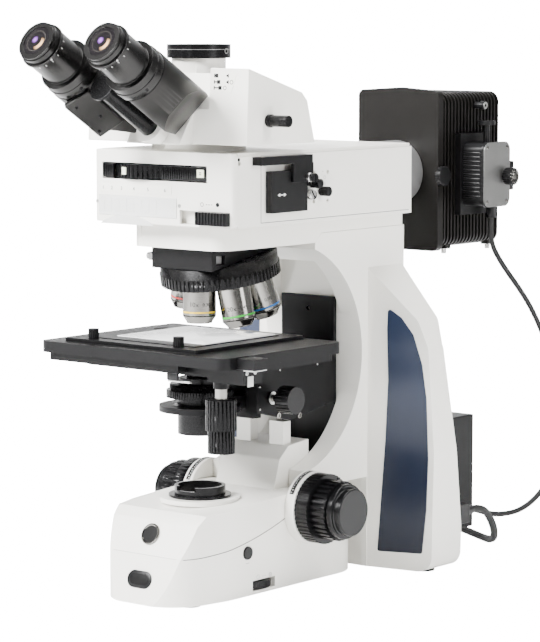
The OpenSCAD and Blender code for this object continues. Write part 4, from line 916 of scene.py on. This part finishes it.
# painted shade: a flat dark disc stands for the shade inside a hole in the panel
joined("side_hole", [spot_mesh(1.5, facing_side(panel_x, -39.3, 377.0))], shadow_black, "stand")
slot_screw = [(0, 0), (3.9, 0), (3.9, 2.0), (3.5, 2.5), (0, 2.5)]
for name, (x, y, z) in (("clamp_screw_upper", (87.15, 40.4, 359.4)), ("clamp_screw_lower", (80.6, 51.6, 344.4))):
    turned(name, slot_screw, facing_side(x, y, z), satin_steel, "stand", 40)
    # painted shade: a dark bar across each screw head stands for the shade in its slot
    slot_place = at(x + 2.45, y, z, Euler((math.radians(35), 0, 0)))
    block(name + "_slot", (0.5, 1.3, 7.0), slot_place, 0, shadow_black, "stand", slot="black_plastic")
turned("clamp_screw_lower_stem", [(0, 0), (2.2, 0), (2.2, 3.7), (0, 3.7)], facing_side(76.9, 51.6, 344.4),
       satin_steel, "stand", 24)
arrow = facing_side(84.02, 8.4, 346)
joined("slider_arrow", [bar_mesh(6, 0.8, arrow), arrow_mesh(3.0, 3.0, arrow @ at(2.6, 0, 0)),
                        arrow_mesh(-3.0, 3.0, arrow @ at(-2.6, 0, 0))],
       print_white, "analyser")
joined("stop_signs", [ring_mesh(1.6, 0.35, facing_side(panel_x, 74.6, 357.4)),
                      spot_mesh(1.2, facing_side(panel_x, 66.6, 357.6)),
                      ring_mesh(1.2, 0.5, facing_side(panel_x, 74.6, 351.8)),
                      bar_mesh(1.8, 0.6, facing_side(panel_x, 72, 362.6))],
       print_grey, "stand")
print("side panel lined, two clamp screws")

# %% [markdown]
# The lamp house carries small fittings: the filter handle near its top, four screws in the holder's
# steel plate, ridges on the holder's block, a star wheel on the bulb's centring screw and two feet.

# %% Lamp fittings
turned("filter_handle", [(0, 0), (3.0, 0), (3.0, 6), (3.9, 6.4), (3.9, 10.6), (3.4, 11), (0, 11)],
       facing_side(45.9, 341, 411),
       black_plastic, "stand", 40)
turned("filter_handle_ring", [(1.5, 0), (3.2, 0), (3.2, 0.5), (1.5, 0.5)], facing_side(56.9, 341, 411),
       satin_steel, "stand", 40, True)
to_the_right = (0, math.pi / 2, 0)
plate_screws = [((77.2, y, z), to_the_right) for y in (316.5, 347.5) for z in (373, 323)]
strewn("holder_screws", hex_socket_mesh("screw", 1.5, 0.7, 0.7), plate_screws, satin_chrome, "stand")
ridges = [((62.5, 312.0, z), (0, 0, 0)) for z in range(328, 370, 4)]
strewn("holder_ridges", block_mesh("ridge", (19, 1.2, 2.0), None, 0.5, 2), ridges, black_plastic, "stand")
bulb_y, bulb_z = 344, 346
teeth = []
for k in range(12):
    a = 2 * math.pi * k / 12
    teeth.append(((88.1, bulb_y + 5.4 * math.cos(a), bulb_z + 5.4 * math.sin(a)), (a, 0, 0)))
strewn("bulb_knob_star", block_mesh("tooth", (1.2, 2.4, 1.1), None, 0.3, 2), teeth, satin_chrome,
       "bulb_centring")
turned("bulb_knob_cap", [(0, 0), (3.1, 0), (2.7, 0.8), (0, 0.9)], facing_side(87.9, bulb_y, bulb_z),
       satin_chrome, "bulb_centring", 32)
block("bulb_bracket", (3.4, 7.6, 27), at(75.0, 356.4, 346), 1.2, 3, black_plastic, "stand", slot="black_plastic")
strewn("lamp_feet", turned_mesh("foot", [(0, -3.6), (2.0, -3.6), (2.4, -3.0), (2.4, 1), (0, 1)], None, 20),
       [((x, y, 278.6), (0, 0, 0)) for x in (40, -40) for y in (300, 370)], satin_steel, "stand")
print("lamp fittings:", len(ridges), "ridges,", len(teeth), "teeth")

# %% [markdown]
# The holder's outer plate is grey steel with round corners, and the bulb's centring screw comes out
# through a hole in it. The outline runs round the outside, then back round the hole.

# %% Holder plate
holder_outline = [(x, y) for x, y in rounded(41.6, 59.6, 8, 8)]
hole = [(12 + 3.6 * math.cos(a), -2 + 3.6 * math.sin(a)) for a in [-2 * math.pi * k / 24 for k in range(25)]]
near = min(range(len(holder_outline)), key=lambda k: (Vector(holder_outline[k]) - Vector(hole[0])).length)
holder_outline = holder_outline[near:] + holder_outline[:near + 1] + hole
work = bmesh.new()
low_ring = [work.verts.new((x, y, 0)) for x, y in holder_outline]
high_ring = [work.verts.new((x, y, 0.7)) for x, y in holder_outline]
work.faces.new(high_ring)
work.faces.new(low_ring[::-1])
for k in range(len(low_ring)):
    j = (k + 1) % len(low_ring)
    work.faces.new([low_ring[k], low_ring[j], high_ring[j], high_ring[k]])
bmesh.ops.remove_doubles(work, verts=work.verts, dist=1e-5)
satin_grey = metal("plate_grey", (0.16, 0.16, 0.155), (0.22, 0.22, 0.215), 0.42, 0.85)
settle("holder_plate", from_work("holder_plate", work, facing_side(76.5, 332, 348)), satin_grey, "stand")
print("holder plate 42 by 60 mm")

# %% [markdown]
# Each objective wears a coloured ring for its power, a knurled grip and a dark retaining ring by the
# front lens. Bands are thin turned sleeves, set square to the objective's own axis.

# %% Objective rings
objective_circle, barrel = 28.8, 14.3


def objective_place(k):
    a = math.radians(60 * k)
    centre = nose_place @ Matrix.Rotation(a, 4, "Z")
    return centre @ at(0, -objective_circle, 0) @ Matrix.Rotation(math.radians(-nose_tilt), 4, "X")


def band(name, place, radius, low, high, finish, body, proud=0.12):
    return turned(name, [(radius - 0.2, low), (radius + proud, low), (radius + proud, high),
                         (radius - 0.2, high)], place,
                  finish, body, 64, True)


def stain(name, colour):
    return moulded(name, colour, tuple(min(1, c * 1.15 + 0.01) for c in colour), 0.35, 0.05)


rings = {"red": (5, 24, stain("ring_red", (0.45, 0.015, 0.012))),
         "yellow": (0, 32, stain("ring_yellow", (0.70, 0.46, 0.004))),
         "green": (1, 38, stain("ring_green", (0.02, 0.34, 0.03))),
         "blue": (2, 38.4, stain("ring_blue", (0.012, 0.10, 0.32)))}
powers = {"red": ("4x", "0.13"), "yellow": ("10x", "0.30"), "green": ("20x", "0.45"), "blue": ("50x", "0.80")}


def wrapped(mesh, radius, place):
    """Bends a flat text mesh, made in X and Y, round an upright tube whose front looks along -Y."""
    for vertex in mesh.vertices:
        x, y, z = vertex.co / mm
        angle, reach = x / radius, radius + z
        vertex.co = Vector((reach * math.sin(angle), -reach * math.cos(angle), y)) * mm
    mesh.transform(place)
    return mesh


for colour, (k, reach, finish) in rings.items():
    place, node = objective_place(k), "objective_" + colour
    spin = place @ Matrix.Rotation(photo_azimuth - place.to_euler().z, 4, "Z")
    band(node + "_ring", place, barrel, 9.0 - reach, 10.5 - reach, finish, "nosepiece", 0.1)
    # painted shade: a dark band stands for the shade in a groove round the objective
    band(node + "_groove", place, barrel, 6.3 - reach, 7.1 - reach, shadow_black, "nosepiece", 0.05)
    band(node + "_collar", place, barrel, -4.4, -3.4, shadow_black, "nosepiece", 0.05)
    words = [wrapped(number_mesh(powers[colour][0], 5.6, at(-4.5, 0, 0.02)), barrel,
                     spin @ at(0, 0, 16.5 - reach)),
             wrapped(number_mesh(powers[colour][1], 4.0, at(6.5, 0, 0.02)), barrel,
                     spin @ at(0, 0, 16.5 - reach))]
    joined(node + "_figures", words, print_black, "nosepiece")
turned("lamp_port_sleeve", [(28.8, 0.4), (29.15, 0.4), (29.15, 82.4), (28.8, 82.4)],
       at(0, 199, 350) @ Matrix.Rotation(-math.pi / 2, 4, "X"), grey_anodised, "stand", 96, True)
print("rings, grooves and figures on", len(rings), "objectives")

# %% [markdown]
# On the stage, a bright opal plate lies in the black insert, with a slotted catch at its left. The low
# rail is closed by a block and a bright strip, and the drive column shows its polished shaft.

# %% Stage plate and strips
stage_top = 222.0
opal = sprayed("opal_plate", (0.90, 0.905, 0.91), (0.95, 0.95, 0.95), 0.12, 0.01, 300, 0.5)
settle("opal_plate", plate_mesh("opal_plate", [(x - 6, y + 3) for x, y in rounded(100, 94, 2)], 0.5,
                                at(0, 0, stage_top), 0.15), opal, "stage_upper_slide")
settle("stage_catch", plate_mesh("stage_catch", [(x - 64, y + 22) for x, y in rounded(7, 15, 3.4)], 0.3,
                                 at(0, 0, stage_top)), shadow_black, "stage_upper_slide")
block("rail_end", (12, 2.8, 6.4), at(41.4, -81.7, 199.2), 0.8, 3, black_plastic, "stage_lower_slide",
      slot="black_plastic")
block("rail_strip", (24, 3, 1.6), at(46, -78.5, 195.0), 0.3, 2, satin_steel, "stage_lower_slide", slot="steel")
strewn("block_screws", hex_socket_mesh("screw", 1.7, 0.8, 0.8),
       [((108, y, 205.4), to_the_right) for y in (-66.5, -56)],
       satin_steel, "stage_lower_slide")
block("block_tab", (0.8, 7, 8.6), at(108.2, -62, 198.4), 0.3, 2, pale_grey, "stage_lower_slide", slot="steel")
block("arm_strip", (12, 16.6, 1.0), at(113.4, -62.5, 208.25), 0.3, 2, satin_steel, "stage_upper_slide",
      slot="steel")
print("opal plate 100 by 94 mm")

# %% [markdown]
# Bright metal shows wherever a shaft leaves a black housing: at the condenser's knob and above the
# stage's drive knobs. Each is a thin turned sleeve over the solid shaft. Two socket screws hold each cheek.

# %% Shafts and cheek screws
turned("condenser_shaft", [(2.8, 0), (3.12, 0), (3.12, 11), (2.8, 11)], facing_side(42.0, 48, 167), satin_chrome,
       "condenser_drive", 40, True)
turned("condenser_bush", [(3.3, 2.0), (5.62, 2.0), (5.62, 2.1), (3.3, 2.1)], facing_side(40.0, 48, 167),
       satin_steel,
       "condenser_drive", 48, True)
turned("stage_shaft", [(4.8, 0), (5.12, 0), (5.12, 8.6), (4.8, 8.6)], at(76, -61, 181.0), satin_chrome,
       "stage_y_drive", 48, True)
cheek_screws = [((40.0, y, z), to_the_right) for y, z in ((57.8, 150.6), (86.9, 147.6))]
strewn("cheek_screws", hex_socket_mesh("screw", 2.7, 0.8, 1.5), cheek_screws, satin_chrome, "stage_bracket")
pin_spots = ((33, 178), (33, 158.5), (60, 190), (112, 190))
strewn("cheek_pins", hex_socket_mesh("screw", 0.9, 0.3, 0.5),
       [((40.0, y, z), to_the_right) for y, z in pin_spots],
       satin_steel, "stage_bracket")
turned("clamp_ring_lip", [(26.9, 7.0), (27.15, 7.1), (27.15, 7.5), (26.9, 7.6)], at(0, 0, 459), grey_anodised,
       "stand", 96, True)
joined("clamp_ring_screw", [ring_mesh(2.3, 0.7, facing_side(26.6, 4.4, 464.9), 0.5)], satin_steel, "stand")
print("sleeves on two shafts")

# %% [markdown]
# The base wears a round badge and an oval sensor window on its nose, both bare. A pressed ring frames
# each. Signs for the lamp's brightness are printed above the thumbwheel.

# %% Base fittings
lean_high = math.degrees(math.atan2(13.5, 27))
badge = facing_user(0, -63.6, 59.5, lean_high)
turned("badge_ring", [(7.4, 0), (9.4, 0), (9.4, 1.0), (8.9, 1.5), (7.9, 1.5), (7.4, 1.1)], badge, satin_chrome,
       "stand", 72, True)
turned("badge_face", [(0, 0.2), (7.5, 0.2), (7.5, 1.0), (0, 1.25)], badge, shadow_black, "stand", 72)
oval = facing_user(0, -77.9, 23, math.degrees(math.atan2(13.5, 43)))
settle("sensor_frame", plate_mesh("sensor_frame", rounded(26.5, 14.8, 7.3, 12), 0.9, oval, 0.4), black_plastic,
       "stand")
settle("sensor_window", plate_mesh("sensor_window", rounded(20.5, 9.4, 4.6, 12), 1.15, oval, 0.2), shadow_black,
       "stand")
joined("brightness_signs", [ring_mesh(2.0, 0.35, facing_side(54.02, 13, 17.6)),
                            bar_mesh(1.6, 0.5, facing_side(54.02, 19.6, 17.4)),
                            bar_mesh(1.6, 0.5, facing_side(54.02, 22.6, 17.3)),
                            ring_mesh(2.1, 0.9, facing_side(54.02, 29.4, 17.2)),
                            spot_mesh(0.6, facing_side(54.02, 29.4, 17.2)),
                            bar_mesh(4.6, 0.6, facing_side(54.02, -1, 31.6))],
       print_grey, "stand")
print("badge 18.8 mm, window 26.5 mm")

# %% [markdown]
# The base is two castings, and a fine dark joint runs round it where they meet. The line is found by
# looking at the cover from outside along the joint's own curve, and a thin thread is laid in it.

# %% Base joint line
from mathutils.bvhtree import BVHTree


def tree_of(*names):
    points, faces = [], []
    for name in names:
        start, mesh = len(points), frame["nodes"][name].data
        points += [v.co.copy() for v in mesh.vertices]
        faces += [[start + k for k in face.vertices] for face in mesh.polygons]
    return BVHTree.FromPolygons(points, faces)


joint_radius, joint_top, joint_y = 365.0, 408.0, -70.0


def joint_height(y):
    return joint_top - math.sqrt(joint_radius ** 2 - (y - joint_y) ** 2)


def joint_point(tree, origin, direction):
    y = origin[1]
    for _ in range(4):
        start = Vector((origin[0], origin[1], joint_height(y) + 0.9)) * mm
        hit = tree.ray_cast(start, Vector(direction))[0]
        if hit is None:
            return None
        y = hit.y / mm
    return hit + Vector((0, 0, -0.8 * mm)) - Vector(direction) * 0.05 * mm


def thread(name, path, radius, finish, body):
    curve = bpy.data.curves.new(name, "CURVE")
    curve.dimensions, curve.bevel_depth, curve.bevel_resolution = "3D", radius * mm, 1
    curve.use_fill_caps = True
    spline = curve.splines.new("POLY")
    spline.points.add(len(path) - 1)
    for point, place in zip(spline.points, path):
        point.co = (*place, 1)
    holder = bpy.data.objects.new(name, curve)
    bpy.context.scene.collection.objects.link(holder)
    mesh = bpy.data.meshes.new_from_object(holder.evaluated_get(bpy.context.evaluated_depsgraph_get()))
    bpy.data.objects.remove(holder)
    return settle(name, mesh, finish, body)


base_tree = tree_of("base_cover")
joint = [joint_point(base_tree, (90, y), (-1, 0, 0)) for y in range(86, -30, -6)]
for k in range(25):
    a = math.radians(-7.2 * k)
    joint.append(joint_point(base_tree, (90 * math.cos(a), -30 + 90 * math.sin(a)),
                             (-math.cos(a), -math.sin(a), 0)))
joint += [joint_point(base_tree, (-90, y), (1, 0, 0)) for y in range(-30, 87, 6)]
joint = [p for p in joint if p is not None]
thread("base_joint", joint, 0.32, print_black, "stand")
print("joint line", round(run_of(joint), 3), "m in", len(joint), "points")

# %% [markdown]
# Each focus collar carries a black numbered band with white ticks on its upper front. The band is an arc
# of a thin sleeve, and the ticks are strewn along it.

# %% Focus bands
focus_y, focus_z, tick_reach = 79.8, 69.7, 31.66


def arc_band(name, radius, x0, x1, start, end, finish, body, proud=0.15, steps=40):
    work = bmesh.new()
    rows = []
    for k in range(steps + 1):
        a = math.radians(start + (end - start) * k / steps)
        rows.append([work.verts.new((x, focus_y + r * math.cos(a), focus_z + r * math.sin(a)))
                     for x, r in ((x0, radius - 0.2), (x0, radius + proud), (x1, radius + proud),
                                  (x1, radius - 0.2))])
    for near, far in zip(rows, rows[1:]):
        for k in range(4):
            work.faces.new([near[k], near[(k + 1) % 4], far[(k + 1) % 4], far[k]])
    work.faces.new(rows[0])
    work.faces.new(rows[-1])
    return settle(name, from_work(name, work), finish, body)


for side, word in ((1, "right"), (-1, "left")):
    arc_band(word + "_focus_band", 31.5, side * 57.0, side * 61.4, 90, 152, print_black, "stand")
    ticks = []
    for k in range(14):
        a = math.radians(93 + 4.3 * k)
        middle = side * (58.4 if k % 3 else 59.2)
        ticks.append(((middle, focus_y + tick_reach * math.cos(a), focus_z + tick_reach * math.sin(a)),
                      (a, 0, 0)))
    strewn(word + "_focus_ticks", block_mesh("tick", (1.6, 0.16, 0.5), None, 0), ticks, print_white, "stand")
print("ticks on each collar:", len(ticks))

# %% [markdown]
# A plain pale floor curves up behind. The main soft box is above and to the left of the camera, with a
# weaker one to the right and one overhead. The sky is brighter on some sides than on others, because it is
# those bands that show as long streaks in polished metal. This is the soft light of a catalogue picture.

# %% Floor and light
floor_mesh = bpy.data.meshes.new("studio_floor")
floor_work = bmesh.new()
away = Matrix.Rotation(photo_azimuth, 4, "Z")
sweep = [(-6, 0), (3.0, 0), (3.6, 0.06), (4.1, 0.3), (4.4, 0.8), (4.5, 5)]
lines = [[floor_work.verts.new(away @ Vector((x, y, z))) for x in (-9, 9)] for y, z in sweep]
for near, far in zip(lines, lines[1:]):
    floor_work.faces.new([near[0], near[1], far[1], far[0]])
floor_work.to_mesh(floor_mesh)
floor_work.free()
for face in floor_mesh.polygons:
    face.use_smooth = True
floor = bpy.data.objects.new("studio_floor", floor_mesh)
bpy.context.scene.collection.objects.link(floor)
paper = Finish("studio_paper")
paper.feed("Base Color", paper.tint(paper.noise(3, 3), (0.96, 0.96, 0.96), (0.98, 0.98, 0.98)))
paper.feed("Roughness", 0.7 + 0.1 * paper.noise(40, 3))
seen = paper.node("ShaderNodeLightPath")
paper.feed("Emission Color", paper.tint(seen, (0.005, 0.005, 0.005), (1, 1, 1)))
paper.shader.inputs["Emission Strength"].default_value = 16.0
floor_mesh.materials.append(paper.material)


def soft_box(name, place, target, size, power, tint=(1, 1, 1)):
    light = bpy.data.lights.new(name, "AREA")
    light.shape, light.size, light.size_y = "RECTANGLE", size[0], size[1]
    light.energy, light.color = power, tint
    lamp = bpy.data.objects.new(name, light)
    lamp.location = place
    lamp.rotation_euler = (Vector(target) - Vector(place)).to_track_quat("-Z", "Y").to_euler()
    bpy.context.scene.collection.objects.link(lamp)
    return lamp


aim_point = (0, 0, 0.25)
soft_box("key_box", (-0.9, -2.2, 2.1), aim_point, (1.3, 1.1), 480)
soft_box("side_box", (2.4, 0.2, 1.2), (0, 0.1, 0.25), (1.0, 1.6), 60)
soft_box("top_box", (0.2, 0.3, 2.4), (0, 0.1, 0.2), (1.6, 1.6), 130)
world = bpy.data.worlds.new("studio_sky")
bpy.context.scene.world = world
world.use_nodes = True
sky = world.node_tree.nodes
aim = sky.new("ShaderNodeTexCoord")
across = sky.new("ShaderNodeVectorMath")
across.operation = "DOT_PRODUCT"
across.inputs[1].default_value = (0.773, 0.634, 0)
spread = sky.new("ShaderNodeMapRange")
spread.inputs["From Min"].default_value = -1
ramp = sky.new("ShaderNodeValToRGB")
sky_levels = ((0.0, 0.5), (0.2, 1.0), (0.36, 1.0), (0.43, 0.22), (0.6, 0.16), (0.66, 0.7), (0.74, 0.7),
              (0.82, 0.14),
              (1.0, 0.3))
for place, level in sky_levels:
    stop = ramp.color_ramp.elements.new(place) if 0 < place < 1 else ramp.color_ramp.elements[int(place)]
    stop.color = (level, level, level, 1)
wire = world.node_tree.links.new
wire(aim.outputs["Generated"], across.inputs[0])
wire(across.outputs["Value"], spread.inputs["Value"])
wire(spread.outputs["Result"], ramp.inputs["Fac"])
wire(ramp.outputs["Color"], sky["Background"].inputs["Color"])
sky["Background"].inputs["Strength"].default_value = 0.55
print("floor and lights set")
